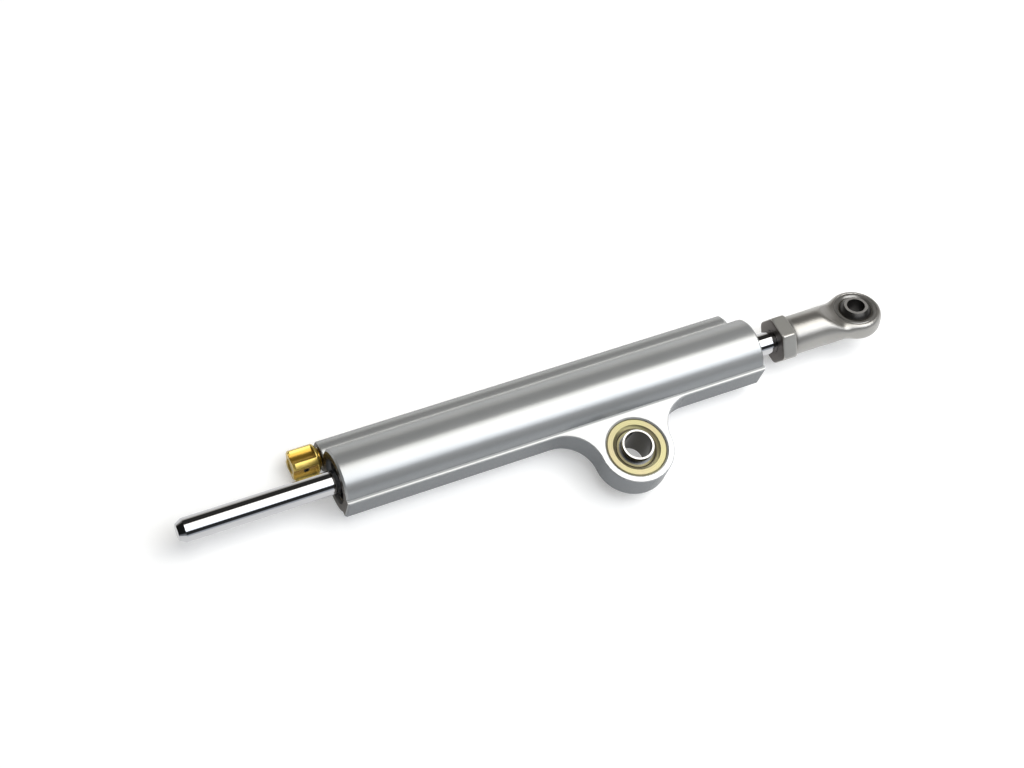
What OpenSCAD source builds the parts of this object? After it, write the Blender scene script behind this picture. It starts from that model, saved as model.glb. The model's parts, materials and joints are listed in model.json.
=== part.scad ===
// Motorcycle steering damper: a through-rod oil damper with a side barrel that holds
// its needle valve and its oil compensator. All lengths are in millimetres.
// +X runs along the rod towards the rod end, +Z along the lug's bore, and the origin is
// the middle of that bore.

/* [Body] */
// Length of the body between its end faces
body_len = 192; // [180:1:240]
// Outside diameter of the main tube
tube_d = 27; // [26:0.5:34]
// Bore that the piston runs in
bore_d = 18; // [17:0.5:18.5]
// How far the gland seats are bored out beyond the piston's bore, on diameter
seat_step = 1; // [0.6:0.1:1.6]
// Distance between the rod's axis and the lug's bore
lug_off = 28.4; // [26:0.2:36]
// How far the lug stands from the body's middle, towards the rod end
lug_x = 26.5; // [0:0.5:36]
// Thickness of the lug and of the flange that it grows from
lug_t = 12.5; // [11.5:0.5:15]
// How far the flange's flat stands out past the tube
flange_proud = 0.3; // [0.2:0.1:2]
// Metal round the bearing in the lug
lug_wall = 3.1; // [2:0.1:6]
// Radius of the sweep from the flange into the lug
lug_fillet = 15; // [6:0.5:18]
// Bevel on the body's end edges
end_bevel = 0.8; // [0.3:0.1:1.5]
// Bevel along the edges of the lug and of its flange
edge_bevel = 0.4; // [0.2:0.1:0.8]

/* [Side barrel] */
// Outside diameter of the barrel
barrel_d = 13; // [12:0.5:14]
// Sideways distance from the rod's axis to the barrel's axis
barrel_side = 15.4; // [15:0.2:18]
// How far the barrel's axis lies below the rod's
barrel_drop = 8.5; // [7:0.2:10]
// How much the barrel stops short of the body's rod-end face
barrel_short = 1.6; // [0:0.2:6]
// Bevel on the barrel's far end
barrel_bevel = 1.6; // [0.4:0.1:2]
// Bevel on the barrel's edge at the knob
barrel_edge = 0.4; // [0.2:0.1:0.8]
// Valve bore at the knob's end
valve_bore_d = 8.5; // [8:0.1:9]
// Depth of the valve bore, to the shoulder that the seat rests on
valve_deep = 44; // [43:0.5:60]
// Compensator bore at the far end
comp_bore_d = 9; // [8.5:0.1:9.6]
// Depth of the compensator bore
comp_deep = 40; // [39:0.5:44]
// Oil passage between the two bores
passage_d = 4; // [3:0.2:5]
// Oil ports between the tube and the barrel
port_d = 2.6; // [1.5:0.1:3]

/* [Rod and piston] */
// Rod diameter
rod_d = 10; // [9:0.1:10.4]
// Rod showing at the knob's end
rod_tip = 66; // [64:1:90]
// Bevel length and depth on the rod's tip
tip_bevel_len = 2.8; // [1:0.1:4]
tip_bevel = 1.6; // [0.4:0.1:2]
// Rod showing between the body and the jam nut
rod_gap = 12; // [11:0.5:30]
// Travel from rest towards the knob's end
travel_in = 10; // [4:0.5:10]
// Travel from rest towards the rod end
travel_out = 62; // [40:0.5:62]
// Piston length
piston_len = 16; // [14:0.5:20]
// Width of the piston's sealing band
band_w = 6; // [4:0.5:8]
// Thickness of the piston's sealing band
band_t = 0.97; // [0.8:0.01:1.2]
// Thickness of the wire rings that hold the piston
clip_t = 1; // [0.8:0.1:1.2]
// How deep those rings sit in the rod
clip_deep = 0.5; // [0.3:0.1:0.8]
// Bevel on the piston's rims and on the rod's threaded end
piston_bevel = 0.5; // [0.2:0.1:0.8]

/* [Glands] */
// Thickness of the spring rings that hold the glands
ring_t = 1.2; // [1:0.1:1.6]
// How deep the spring rings lie inside the body's ends
ring_in = 1.6; // [1:0.1:3]
// Radial depth of the spring rings' grooves
ring_groove = 0.7; // [0.5:0.1:1]
// Radial height of the spring rings
ring_h = 2; // [1.8:0.1:2.2]
// Length of a gland's head, between spring ring and shoulder
gland_head = 26; // [24.5:0.5:30]
// Wall of a gland's nose
nose_wall = 0.9; // [0.7:0.1:1.4]
// Length of a wiper
wiper_len = 3; // [2.5:0.1:4]
// Length of a rod seal
seal_len = 4; // [3:0.1:5]
// Radial height of wipers and seals
seal_h = 2.5; // [2:0.1:2.8]
// Wall and length of a rod bush
bush_wall = 1; // [0.8:0.1:1.2]
bush_len = 16; // [12:0.5:17]
// Web between the seal and the bush
gland_web = 1.7; // [1.2:0.1:2.5]
// Thickness of the rubber bump stops
stop_t = 3; // [2:0.2:5]
// Section of the glands' static O-rings
gland_ring_d = 1.6; // [1.2:0.1:1.8]

/* [Lug bearing] */
// Bore of the lug's ball
lug_bore_d = 12; // [10:0.1:12.4]
// Wall of the ball's neck
lug_neck_wall = 0.95; // [0.7:0.05:1.2]
// Width of the ball over its necks
lug_ball_w = 17; // [15:0.5:20]
// Ball diameter
lug_ball_d = 19.5; // [18.5:0.1:20]
// Outside diameter of the bearing's race
lug_race_d = 26; // [25:0.5:28]
// How far the race lies inside the lug's faces
lug_race_in = 0.3; // [0.1:0.1:1]
// Bevel on the race's rim and on the lug's seat
lug_race_bevel = 0.6; // [0.2:0.1:1]
// Bevel at the race's two mouths
lug_mouth = 1.2; // [0.6:0.1:1.2]
// How far the liner stops inside the race's faces
lug_liner_in = 1.5; // [1.2:0.1:2]
// Bevel on the ball's lips
lip_bevel = 0.2; // [0.1:0.05:0.3]

/* [Rod end] */
// Bore of the rod end's ball
eye_bore_d = 8; // [6:0.1:9]
// Ball diameter and width
eye_ball_d = 15.88; // [15:0.01:16.4]
eye_ball_w = 12; // [11:0.1:12.6]
// Head diameter and width
eye_head_d = 24; // [23:0.5:28]
eye_head_w = 9; // [8.4:0.1:10]
// Bevel on the head's rims
eye_bevel = 1.2; // [0.4:0.1:1.6]
// Seat in the head for the race
eye_seat_d = 19; // [18.6:0.1:20]
// Bevels on the race's rim and at its mouths
eye_race_bevel = 0.3; // [0.1:0.1:0.4]
eye_mouth = 0.7; // [0.4:0.1:0.8]
// How far the liner stops inside the race's faces
eye_liner_in = 0.8; // [0.8:0.1:1.4]
// Distance from the shank's face to the eye's centre
eye_h = 35; // [34:0.5:45]
// Shank diameter
shank_d = 17.4; // [15:0.2:18]
// Where the shank starts to flare, measured from the eye's centre
flare_from = 20; // [18.5:0.5:21]
// Where the ramps leave the round shank, measured from the eye's centre, and their length
ramp_at = 19; // [17:0.5:20]
ramp_len = 10; // [7:0.5:11]
// Width of the neck that the ramps run down to, under the head's flats
neck_w = 6; // [5:0.2:8]
// How the eye is turned about the rod at rest, in degrees
eye_turn = -18.6; // [-90:0.1:90]
// Width across the jam nut's flats
nut_af = 19; // [16:0.5:20]
// Jam nut thickness
nut_t = 7; // [5:0.5:8]
// How the nut's corners lie about the rod at rest, in degrees
nut_turn = 20; // [0:1:60]
// Share of the corners' height that is turned off at the nut's faces
nut_turned = 0.6; // [0.3:0.1:0.9]
// Core diameter of the rod's threaded end
thread_d = 9.2; // [8:0.1:9.6]
// Thread length inside the rod end
thread_in = 15; // [10:0.5:16]
// Drilled depth past the thread's end
drill_past = 2; // [1:0.5:3]

/* [Adjuster] */
// Knob diameter over its ridges
knob_d = 12.8; // [12:0.1:14]
// Knob length
knob_len = 11.5; // [10:0.5:16]
// Gap between the knob's rim and the barrel
knob_gap = 1.3; // [1:0.1:3]
// Thickness of the plain rim at the knob's inner end
knob_rim = 1.3; // [0.8:0.1:2]
// Bevel on the knob's edges
knob_bevel = 0.8; // [0.2:0.1:1]
// Depth of the dish in the knob's face, and the margin of metal round it
dish_deep = 0.5; // [0.2:0.1:1]
dish_in = 1.6; // [1.2:0.1:2]
// Knob metal left over the stem's end
knob_cap = 2.5; // [2:0.1:3]
// Number of flutes round the knob
flutes = 4; // [3:1:8]
// Depth and radius of each flute
flute_deep = 1.6; // [0.6:0.05:1.8]
flute_r = 4.4; // [2.4:0.1:5]
// How the knob's flutes lie about the barrel at rest, in degrees
knob_turn = 167; // [0:1:360]
// Stem diameter
stem_d = 3.8; // [3.4:0.1:4]
// Core diameter of the stem's threaded end
stem_thread_d = 3; // [2.6:0.1:3.2]
// Collar on the stem, diameter and thickness
collar_d = 5; // [4.6:0.1:5.1]
collar_t = 1; // [0.8:0.1:1.4]
// Set screw diameter
grub_d = 2.4; // [2:0.1:3]
// How far the set screw lies below its flute
grub_in = 0.6; // [0.2:0.1:1]
// Depth of its hexagon socket
grub_hex_deep = 1; // [0.6:0.1:1.2]
// Length of the cartridge that carries the stem
cart_len = 22; // [21:0.5:26]
// Depth at which the cartridge's keyed hollow starts
cart_hollow = 8; // [7.6:0.2:8.4]
// Width of the hollow and of the needle's tail across the round and across the flats
key_d = 6.5; // [6.2:0.1:6.6]
key_af = 5.2; // [5.2:0.1:5.4]
// Length of the needle's keyed tail
tail_len = 8; // [6:0.5:9]
// Diameter of the needle behind its taper
needle_d = 4.4; // [4.2:0.1:4.6]
// Length of the needle's taper
taper_len = 6.5; // [5:0.5:8]
// Diameter at the needle's tip
needle_tip_d = 1.2; // [0.8:0.1:1.4]
// How far the needle's tip reaches into its seat at rest
needle_in = 1.5; // [1:0.1:1.5]
// Stem thread showing past the needle's tail
stem_past = 2; // [1:0.5:2.5]
// Valve seat bore and thickness
seat_bore_d = 2.5; // [2.5:0.1:3]
seat_t = 6; // [4:0.5:6]
// Needle travel each way from rest
needle_travel = 0.8; // [0.4:0.1:0.8]
// Detent ball diameter
detent_d = 1.5; // [1.2:0.1:1.5]
// Distance of the detent ball from the stem's axis
detent_at = 3.1; // [3:0.05:3.2]
// Clicks in one turn of the knob
clicks = 12; // [8:1:16]
// Turns of the detent's spring
detent_turns = 4; // [3:1:4]

/* [Compensator] */
// Length of the barrel's plug
plug_len = 9; // [8:0.5:10]
// How far the plug lies inside the barrel's end
plug_in = 1; // [0.5:0.1:2]
// Hexagon socket in the plug, across flats and deep
plug_hex = 5; // [4:0.5:5]
plug_hex_deep = 4; // [3:0.5:4.5]
// Length of the floating piston
comp_piston_len = 8; // [6:0.5:8]
// Travel of the floating piston each way from rest
comp_travel = 3; // [2:0.5:3]
// Wire diameter of the compensator's spring
comp_wire = 0.9; // [0.7:0.1:1]
// Turns of the compensator's spring
comp_turns = 7; // [5:1:8]
// Room between that spring and its bore
comp_spring_gap = 0.7; // [0.5:0.1:1]
// Depth of the cup in the floating piston
comp_cup = 1; // [0.5:0.1:2]
// Section of the barrel's small O-rings
small_ring_d = 1.2; // [1:0.1:1.3]

/* [Fits] */
// Radial clearance of pieces that stay put
fit = 0.02; // [0.01:0.01:0.03]
// Radial clearance of pieces that run
run = 0.03; // [0.02:0.01:0.05]
// Clearance between faces at the ends of a travel
end_play = 0.5; // [0.3:0.1:1]
// Thickness of the bearings' liners
liner_t = 0.4; // [0.3:0.05:0.5]

/* [Hidden] */
$fn = 96;
tiny = 0.01;
// how far a cutter reaches past what it cuts
cut = 1;
// rings in a turn of a wound wire, and sides of its section
curl_rings = 8;
wire_sides = 6;
// sides of an O-ring's section
ring_fn = 32;
x_tip = -lug_x - body_len / 2;
x_end = x_tip + body_len;
tube_r = tube_d / 2;
bore_r = bore_d / 2;
seat_r = bore_r + seat_step / 2;
rod_r = rod_d / 2;
flange_y = tube_r + flange_proud;
lug_r = lug_race_d / 2 + lug_wall;
// the sweep's centre, seen from the lug's centre
sweep_y = lug_off - flange_y - lug_fillet;
sweep_x = sqrt(pow(lug_r + lug_fillet, 2) - pow(sweep_y, 2));
barrel_r = barrel_d / 2;
barrel_off = sqrt(pow(barrel_side, 2) + pow(barrel_drop, 2));
barrel_ang = atan2(-barrel_drop, barrel_side);
barrel_len = body_len - barrel_short;
valve_r = valve_bore_d / 2;
comp_r = comp_bore_d / 2;
// gland depths, from the body's end face
ring_play = 0.05;
gland_in = ring_in + ring_t + 2 * ring_play;
gland_shoulder = gland_in + gland_head;
stroke = travel_in + travel_out;
chamber = stroke + piston_len + 2 * end_play;
gland_end = (body_len - chamber) / 2 - stop_t;
seal_r = rod_r + run + seal_h;
bush_r = rod_r + run + bush_wall;
pocket_to = gland_in + wiper_len + seal_len + 2 * ring_play;
bush_in = pocket_to + gland_web;
nose_r = bush_r + fit + nose_wall;
port_tip = gland_shoulder + port_d;
port_end = gland_end - port_d;
gland_ring_at = gland_shoulder - 3 * gland_ring_d;
// half the gap of a spring ring and the place of its plier eyes, in degrees, and the eyes' radius
clip_gap = 12;
clip_eye_at = 20;
clip_eye_r = 1.4;
// piston and rod stations
piston_x = x_tip + gland_end + stop_t + end_play + travel_in;
nut_x = x_end + rod_gap;
eye_x = nut_x + nut_t + eye_h;
rod_end_x = nut_x + nut_t + thread_in;
band_out = bore_r - run;
band_in = band_out - band_t;
band_ring_d = 0.8;
band_floor = band_in - band_ring_d;
piston_r = bore_r - 4 * run;
// bearings
lug_ball_r = lug_ball_d / 2;
lug_neck_r = lug_bore_d / 2 + lug_neck_wall;
lug_race_w = lug_t - 2 * lug_race_in;
lug_liner_w = lug_race_w - 2 * lug_liner_in;
eye_ball_r = eye_ball_d / 2;
eye_race_in = 0.2;
eye_race_w = eye_head_w - 2 * eye_race_in;
eye_liner_w = eye_race_w - 2 * eye_liner_in;
flare_steps = 8;
// adjuster stations, as depths from the barrel's face at the knob's end
knob_r = knob_d / 2;
stem_r = stem_d / 2;
boss_play = 0.2;
boss_r = valve_r - boss_play;
knob_face = -knob_gap - knob_len;
grub_at = knob_face + knob_len / 2;
stem_from = knob_face + knob_cap;
stem_ring_d = 0.62;
stem_ring_at = 2.7;
collar_at = cart_hollow + run;
tail_at = collar_at + collar_t + needle_travel + 2 * end_play;
seat_at = valve_deep - seat_t;
taper_at = seat_at - taper_len + needle_in;
stem_to = tail_at + tail_len + stem_past;
detent_hole = 4.2;
detent_z = 0.35;
detent_gap = 0.2;
detent_wire = 0.24;
detent_spring_at = detent_z + detent_d / 2 + ring_play;
cart_ring_at = detent_hole + small_ring_d / 2 + 1;
// compensator stations, as depths from the barrel's far end
plug_to = plug_in + plug_len;
comp_piston_at = comp_deep - comp_travel - comp_piston_len - 2 * end_play;
plug_ring_at = plug_to - 3 * small_ring_d;
comp_ring_at = comp_piston_at + comp_piston_len / 2;
comp_spring_r = comp_r - comp_wire / 2 - comp_spring_gap;

// places children along the rod's axis, with their +Z towards the rod end
module on_rod(x) {
    translate([x, lug_off, 0]) rotate([0, 90, 0]) children();
}

// places children at the body's end faces, with their +Z as the depth into the body
module at_tip() {
    on_rod(x_tip) children();
}
module at_end() {
    translate([x_end, lug_off, 0]) rotate([0, -90, 0]) children();
}

// places children in the side barrel, with their +Z as the depth from either end
module in_barrel() {
    translate([x_tip, lug_off + barrel_side, -barrel_drop]) rotate([0, 90, 0]) children();
}
module in_barrel_end() {
    translate([x_tip + barrel_len, lug_off + barrel_side, -barrel_drop]) rotate([0, -90, 0]) children();
}

// a plain round ring from depth z0 to z1
module ring(z0, z1, r_out, r_in) {
    translate([0, 0, z0]) difference() {
        cylinder(h = z1 - z0, r = r_out);
        translate([0, 0, -cut]) cylinder(h = z1 - z0 + 2 * cut, r = r_in);
    }
}

// an O-ring of section d whose middle lies at depth z and radius r
module o_ring(z, r, d) {
    translate([0, 0, z]) rotate_extrude() translate([r, 0]) circle(d = d, $fn = ring_fn);
}

// a bar of radius r with both ends bevelled
module bar(z0, z1, r, bevel) {
    rotate_extrude() polygon([[0, z0], [r - bevel, z0], [r, z0 + bevel], [r, z1 - bevel], [r - bevel, z1],
        [0, z1]]);
}

// a groove cut from a bar of radius r down to radius floor
module groove(z, w, r, floor) {
    ring(z - w / 2, z + w / 2, r + cut, floor);
}

// one unbroken wire of thickness w wound n turns about Z between z0 and z1, in m steps
function wire_mid(r, n, z0, z1, k, m) =
    [r * cos(360 * n * k / m), r * sin(360 * n * k / m), z0 + (z1 - z0) * k / m];
function wire_points(r, n, z0, z1, w, m) = [for (k = [0:m], s = [0:wire_sides - 1])
    let (c = wire_mid(r, n, z0, z1, k, m), a = 360 * n * k / m, b = 360 * s / wire_sides, out = w / 2 * cos(b))
    [c[0] + out * cos(a), c[1] + out * sin(a), c[2] + w / 2 * sin(b)]];
function wire_at(k, s) = wire_sides * k + s % wire_sides;
function wire_faces(m) = concat(
    [for (k = [0:m - 1], s = [0:wire_sides - 1]) [wire_at(k, s), wire_at(k + 1, s), wire_at(k, s + 1)]],
    [for (k = [0:m - 1], s = [0:wire_sides - 1]) [wire_at(k, s + 1), wire_at(k + 1, s), wire_at(k + 1, s + 1)]],
    [for (s = [1:wire_sides - 2]) [0, s, s + 1]],
    [for (s = [1:wire_sides - 2]) [wire_at(m, 0), wire_at(m, s + 1), wire_at(m, s)]]);
function wire_gap(r, n, z0, z1, w, m) = min([for (i = [0:m - 5], j = [i + 5:m])
    norm(wire_mid(r, n, z0, z1, i, m) - wire_mid(r, n, z0, z1, j, m))]) - w;
module wire(name, r, n, z0, z1, w) {
    m = curl_rings * n;
    echo(str(name, " least gap to itself in mm: "), wire_gap(r, n, z0 + w / 2, z1 - w / 2, w, m));
    polyhedron(wire_points(r, n, z0 + w / 2, z1 - w / 2, w, m), wire_faces(m));
}

// a spring ring with its gap and its two plier eyes
module circlip(z0, t, r_out, r_in) {
    side = 2 * r_out;
    translate([0, 0, z0]) difference() {
        union() {
            difference() {
                ring(0, t, r_out, r_in);
                rotate([0, 0, -clip_gap]) translate([0, 0, -cut]) intersection() {
                    cube([side, side, t + 2 * cut]);
                    rotate([0, 0, 2 * clip_gap - 90]) cube([side, side, t + 2 * cut]);
                }
            }
            for (a = [-clip_eye_at, clip_eye_at]) rotate([0, 0, a]) translate([r_in, 0, 0])
                cylinder(h = t, r = clip_eye_r);
        }
        for (a = [-clip_eye_at, clip_eye_at]) rotate([0, 0, a]) translate([r_in, 0, -cut])
            cylinder(h = t + 2 * cut, r = clip_eye_r / 2);
    }
}

// the web between the lug and the flange, swept in on both sides, with its edges bevelled
module lug_web() {
    touch = lug_r / (lug_r + lug_fillet);
    difference() {
        linear_extrude(lug_t, center = true) difference() {
            polygon([[-sweep_x, lug_off], [sweep_x, lug_off], [sweep_x, lug_off - flange_y],
                [touch * sweep_x, touch * sweep_y], [-touch * sweep_x, touch * sweep_y],
                [-sweep_x, lug_off - flange_y]]);
            for (s = [-1, 1]) translate([s * sweep_x, sweep_y]) circle(r = lug_fillet);
        }
        for (s = [-1, 1], t = [0, 1]) translate([s * sweep_x, sweep_y, 0]) mirror([0, 0, t])
            translate([0, 0, lug_t / 2 - edge_bevel])
                cylinder(h = edge_bevel + tiny, r1 = lug_fillet, r2 = lug_fillet + edge_bevel + tiny);
    }
}

// the flange along the tube, with its end corners and its two long edges bevelled
module flange() {
    y0 = lug_off - flange_y;
    intersection() {
        linear_extrude(lug_t, center = true)
            polygon([[x_tip, lug_off], [x_tip, y0 + end_bevel], [x_tip + end_bevel, y0], [x_end - end_bevel, y0],
                [x_end, y0 + end_bevel], [x_end, lug_off]]);
        translate([x_tip - cut, lug_off, 0]) rotate([90, 0, 90]) linear_extrude(body_len + 2 * cut)
            polygon([[cut, -lug_t / 2], [edge_bevel - flange_y, -lug_t / 2], [-flange_y, edge_bevel - lug_t / 2],
                [-flange_y, lug_t / 2 - edge_bevel], [edge_bevel - flange_y, lug_t / 2], [cut, lug_t / 2]]);
    }
}

// an oil port from the tube's bore into the barrel at depth z
module port(z) {
    translate([x_tip + z, lug_off, 0]) rotate([barrel_ang, 0, 0]) rotate([-90, 0, 0])
        translate([0, 0, bore_r / 2]) cylinder(h = barrel_off - bore_r / 2, d = port_d);
}

module damper_body() {
    color("silver") difference() {
        union() {
            at_tip() bar(0, body_len, tube_r, end_bevel);
            flange();
            lug_web();
            bar(-lug_t / 2, lug_t / 2, lug_r, edge_bevel);
            in_barrel() rotate_extrude() polygon([[0, 0], [barrel_r - barrel_edge, 0], [barrel_r, barrel_edge],
                [barrel_r, barrel_len - barrel_bevel], [barrel_r - barrel_bevel, barrel_len], [0, barrel_len]]);
        }
        at_tip() translate([0, 0, -cut]) cylinder(h = body_len + 2 * cut, r = bore_r);
        at_tip() gland_seat();
        at_end() gland_seat();
        cylinder(h = lug_t + 2 * cut, d = lug_race_d, center = true);
        for (s = [0, 1]) mirror([0, 0, s]) translate([0, 0, lug_t / 2 - lug_race_bevel])
            cylinder(h = lug_race_bevel + tiny, r1 = lug_race_d / 2, r2 = lug_race_d / 2 + lug_race_bevel);
        in_barrel() translate([0, 0, -cut]) cylinder(h = valve_deep + cut, r = valve_r);
        in_barrel() translate([0, 0, valve_deep - cut])
            cylinder(h = barrel_len - comp_deep - valve_deep + 2 * cut, d = passage_d);
        in_barrel_end() translate([0, 0, -cut]) cylinder(h = comp_deep + cut, r = comp_r);
        port(port_tip);
        port(body_len - port_end);
    }
}

// the seat that a gland and its spring ring drop into
module gland_seat() {
    translate([0, 0, -cut]) cylinder(h = gland_shoulder + cut, r = seat_r);
    translate([0, 0, ring_in]) cylinder(h = ring_t + 2 * ring_play, r = seat_r + ring_groove);
}

// a race of radius r_out and width w round a ball seat of radius r_seat
module race(r_out, w, r_seat, bevel, mouth) {
    mouth_r = sqrt(r_seat * r_seat - pow(w / 2 - mouth, 2));
    difference() {
        bar(-w / 2, w / 2, r_out, bevel);
        sphere(r = r_seat);
        for (s = [0, 1]) mirror([0, 0, s]) translate([0, 0, w / 2 - mouth])
            cylinder(h = mouth + tiny, r1 = mouth_r - tiny, r2 = mouth_r + mouth);
        cylinder(h = w + 2 * cut, r = mouth_r - tiny, center = true);
    }
}

// a liner shell of width w between two sphere radii
module liner(w, r_in, r_out) {
    difference() {
        intersection() {
            sphere(r = r_out);
            cylinder(h = w, r = r_out + cut, center = true);
        }
        sphere(r = r_in);
    }
}

module lug_race() {
    color("goldenrod")
        race(lug_race_d / 2 - fit, lug_race_w, lug_ball_r + liner_t + 2 * run, lug_race_bevel, lug_mouth);
}

module lug_liner() {
    color("darkkhaki") liner(lug_liner_w, lug_ball_r + run, lug_ball_r + run + liner_t);
}

module lug_ball() {
    color("gainsboro") difference() {
        union() {
            intersection() {
                sphere(r = lug_ball_r);
                cylinder(h = lug_ball_w, r = lug_ball_r + cut, center = true);
            }
            bar(-lug_ball_w / 2, lug_ball_w / 2, lug_neck_r, lip_bevel);
        }
        cylinder(h = lug_ball_w + 2 * cut, d = lug_bore_d, center = true);
    }
}

// a gland: head with wiper and seal pocket, O-ring groove, and a nose that carries the bump stop
module gland() {
    difference() {
        union() {
            translate([0, 0, gland_in]) cylinder(h = gland_head, r = seat_r - fit);
            translate([0, 0, gland_in]) cylinder(h = gland_end - gland_in, r = nose_r);
        }
        translate([0, 0, gland_in - cut]) cylinder(h = pocket_to - gland_in + cut, r = seal_r + fit);
        translate([0, 0, pocket_to - cut]) cylinder(h = gland_web + 2 * cut, r = rod_r + 4 * run);
        translate([0, 0, bush_in]) cylinder(h = gland_end - bush_in + cut, r = bush_r + fit);
        groove(gland_ring_at, gland_ring_d + 2 * end_play, seat_r, seat_r - gland_ring_d - fit);
    }
}

module tip_gland() {
    color("dimgray") at_tip() gland();
}

module end_gland() {
    color("dimgray") at_end() gland();
}

module gland_o_rings() {
    color("black") {
        at_tip() o_ring(gland_ring_at, seat_r - gland_ring_d / 2 - fit / 2, gland_ring_d - fit);
        at_end() o_ring(gland_ring_at, seat_r - gland_ring_d / 2 - fit / 2, gland_ring_d - fit);
    }
}

module gland_circlips() {
    out_r = seat_r + ring_groove;
    color("gray") {
        at_tip() circlip(ring_in + ring_play, ring_t, out_r - fit, out_r - ring_h);
        at_end() circlip(ring_in + ring_play, ring_t, out_r - fit, out_r - ring_h);
    }
}

module rod_bushes() {
    color("peru") {
        at_tip() ring(bush_in, bush_in + bush_len, bush_r, rod_r + run);
        at_end() ring(bush_in, bush_in + bush_len, bush_r, rod_r + run);
    }
}

// a lipped seal whose open side, with its two lips, faces the oil
module lip_seal() {
    z0 = gland_in + wiper_len + ring_play;
    difference() {
        ring(z0, z0 + seal_len, seal_r, rod_r + run);
        ring(z0 + seal_len / 2, z0 + seal_len + cut, seal_r - seal_h / 3, rod_r + run + seal_h / 3);
    }
}

module rod_seals() {
    color("darkslategray") {
        at_tip() lip_seal();
        at_end() lip_seal();
    }
}

// a wiper whose scraping lip points out of the body
module wiper() {
    lip = gland_in + wiper_len / 3;
    to = gland_in + wiper_len;
    in_r = rod_r + run;
    rotate_extrude() polygon([[in_r, gland_in], [in_r + seal_h / 5, gland_in], [in_r + seal_h / 2, lip],
        [seal_r, lip], [seal_r, to], [in_r, to]]);
}

module rod_wipers() {
    color("black") {
        at_tip() wiper();
        at_end() wiper();
    }
}

// a rubber stop with a spigot in the gland's nose
module bump_stop() {
    difference() {
        union() {
            translate([0, 0, gland_end]) cylinder(h = stop_t, r = nose_r);
            translate([0, 0, gland_end - stop_t + tiny]) cylinder(h = stop_t, r = bush_r);
        }
        translate([0, 0, gland_end - stop_t - cut])
            cylinder(h = 2 * stop_t + 2 * cut, r = rod_r + bush_wall / 2);
    }
}

module bump_stops() {
    color("black") {
        at_tip() bump_stop();
        at_end() bump_stop();
    }
}

module barrel_plug() {
    color("dimgray") in_barrel_end() difference() {
        translate([0, 0, plug_in]) cylinder(h = plug_len, r = comp_r - fit);
        translate([0, 0, plug_in - cut]) cylinder(h = plug_hex_deep + cut, d = plug_hex / cos(30), $fn = 6);
        groove(plug_ring_at, small_ring_d + 2 * fit, comp_r, comp_r - small_ring_d - fit);
    }
}

module plug_o_ring() {
    color("black") in_barrel_end()
        o_ring(plug_ring_at, comp_r - small_ring_d / 2 - fit / 2, small_ring_d - fit);
}

// a floating piston with a cup for its spring's end
module compensator_piston() {
    color("lightsteelblue") in_barrel_end() difference() {
        translate([0, 0, comp_piston_at]) cylinder(h = comp_piston_len, r = comp_r - run);
        groove(comp_ring_at, small_ring_d + 2 * fit, comp_r, comp_r - small_ring_d - run);
        translate([0, 0, comp_piston_at - cut]) cylinder(h = cut + comp_cup, r = comp_spring_r - comp_wire);
    }
}

module compensator_o_ring() {
    color("black") in_barrel_end() o_ring(comp_ring_at, comp_r - small_ring_d / 2 - run, small_ring_d - run);
}

module compensator_spring() {
    color("slategray") in_barrel_end() wire("compensator spring", comp_spring_r, comp_turns,
        plug_to + ring_play, comp_piston_at - ring_play, comp_wire);
}

module adjuster_cartridge() {
    color("darkgray") in_barrel() difference() {
        cylinder(h = cart_len, r = valve_r - fit);
        translate([0, 0, -cut]) cylinder(h = cart_len, r = stem_r + run);
        intersection() {
            translate([0, 0, cart_hollow]) cylinder(h = cart_len, d = key_d);
            translate([-key_d, -key_af / 2, cart_hollow]) cube([2 * key_d, key_af, cart_len]);
        }
        groove(cart_ring_at, small_ring_d + 2 * fit, valve_r, valve_r - small_ring_d - fit);
        translate([detent_at, 0, -cut]) cylinder(h = detent_hole + cut, d = detent_d + 2 * run);
    }
}

module cartridge_o_ring() {
    color("black") in_barrel()
        o_ring(cart_ring_at, valve_r - small_ring_d / 2 - fit / 2, small_ring_d - fit);
}

module adjuster_stem() {
    color("lightgray") in_barrel() difference() {
        union() {
            translate([0, 0, stem_from]) cylinder(h = collar_at - stem_from + tiny, r = stem_r);
            translate([0, 0, collar_at]) cylinder(h = collar_t, d = collar_d);
            translate([0, 0, collar_at]) cylinder(h = stem_to - collar_at, d = stem_thread_d);
        }
        groove(stem_ring_at, stem_ring_d + 2 * fit, stem_r, stem_r + run - stem_ring_d - fit);
    }
}

module stem_o_ring() {
    color("black") in_barrel() o_ring(stem_ring_at, stem_r + run / 2 - stem_ring_d / 2, stem_ring_d - run);
}

// the needle: keyed tail on the stem's thread, shank and taper
module metering_needle() {
    tail_to = tail_at + tail_len;
    color("lightgray") in_barrel() difference() {
        union() {
            intersection() {
                translate([0, 0, tail_at]) cylinder(h = tail_len, d = key_d - 4 * run);
                translate([-key_d, 2 * run - key_af / 2, tail_at])
                    cube([2 * key_d, key_af - 4 * run, tail_len]);
            }
            translate([0, 0, tail_to - cut]) cylinder(h = taper_at - tail_to + cut, d = needle_d);
            translate([0, 0, taper_at]) cylinder(h = taper_len, d1 = needle_d, d2 = needle_tip_d);
        }
        translate([0, 0, tail_at - cut])
            cylinder(h = stem_to - tail_at + 2 * end_play + needle_travel + cut, d = stem_thread_d + 4 * run);
    }
}

module valve_seat() {
    color("goldenrod") in_barrel() difference() {
        translate([0, 0, seat_at]) cylinder(h = seat_t, r = valve_r - fit);
        translate([0, 0, seat_at - cut]) cylinder(h = seat_t + 2 * cut, d = seat_bore_d);
    }
}

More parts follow.
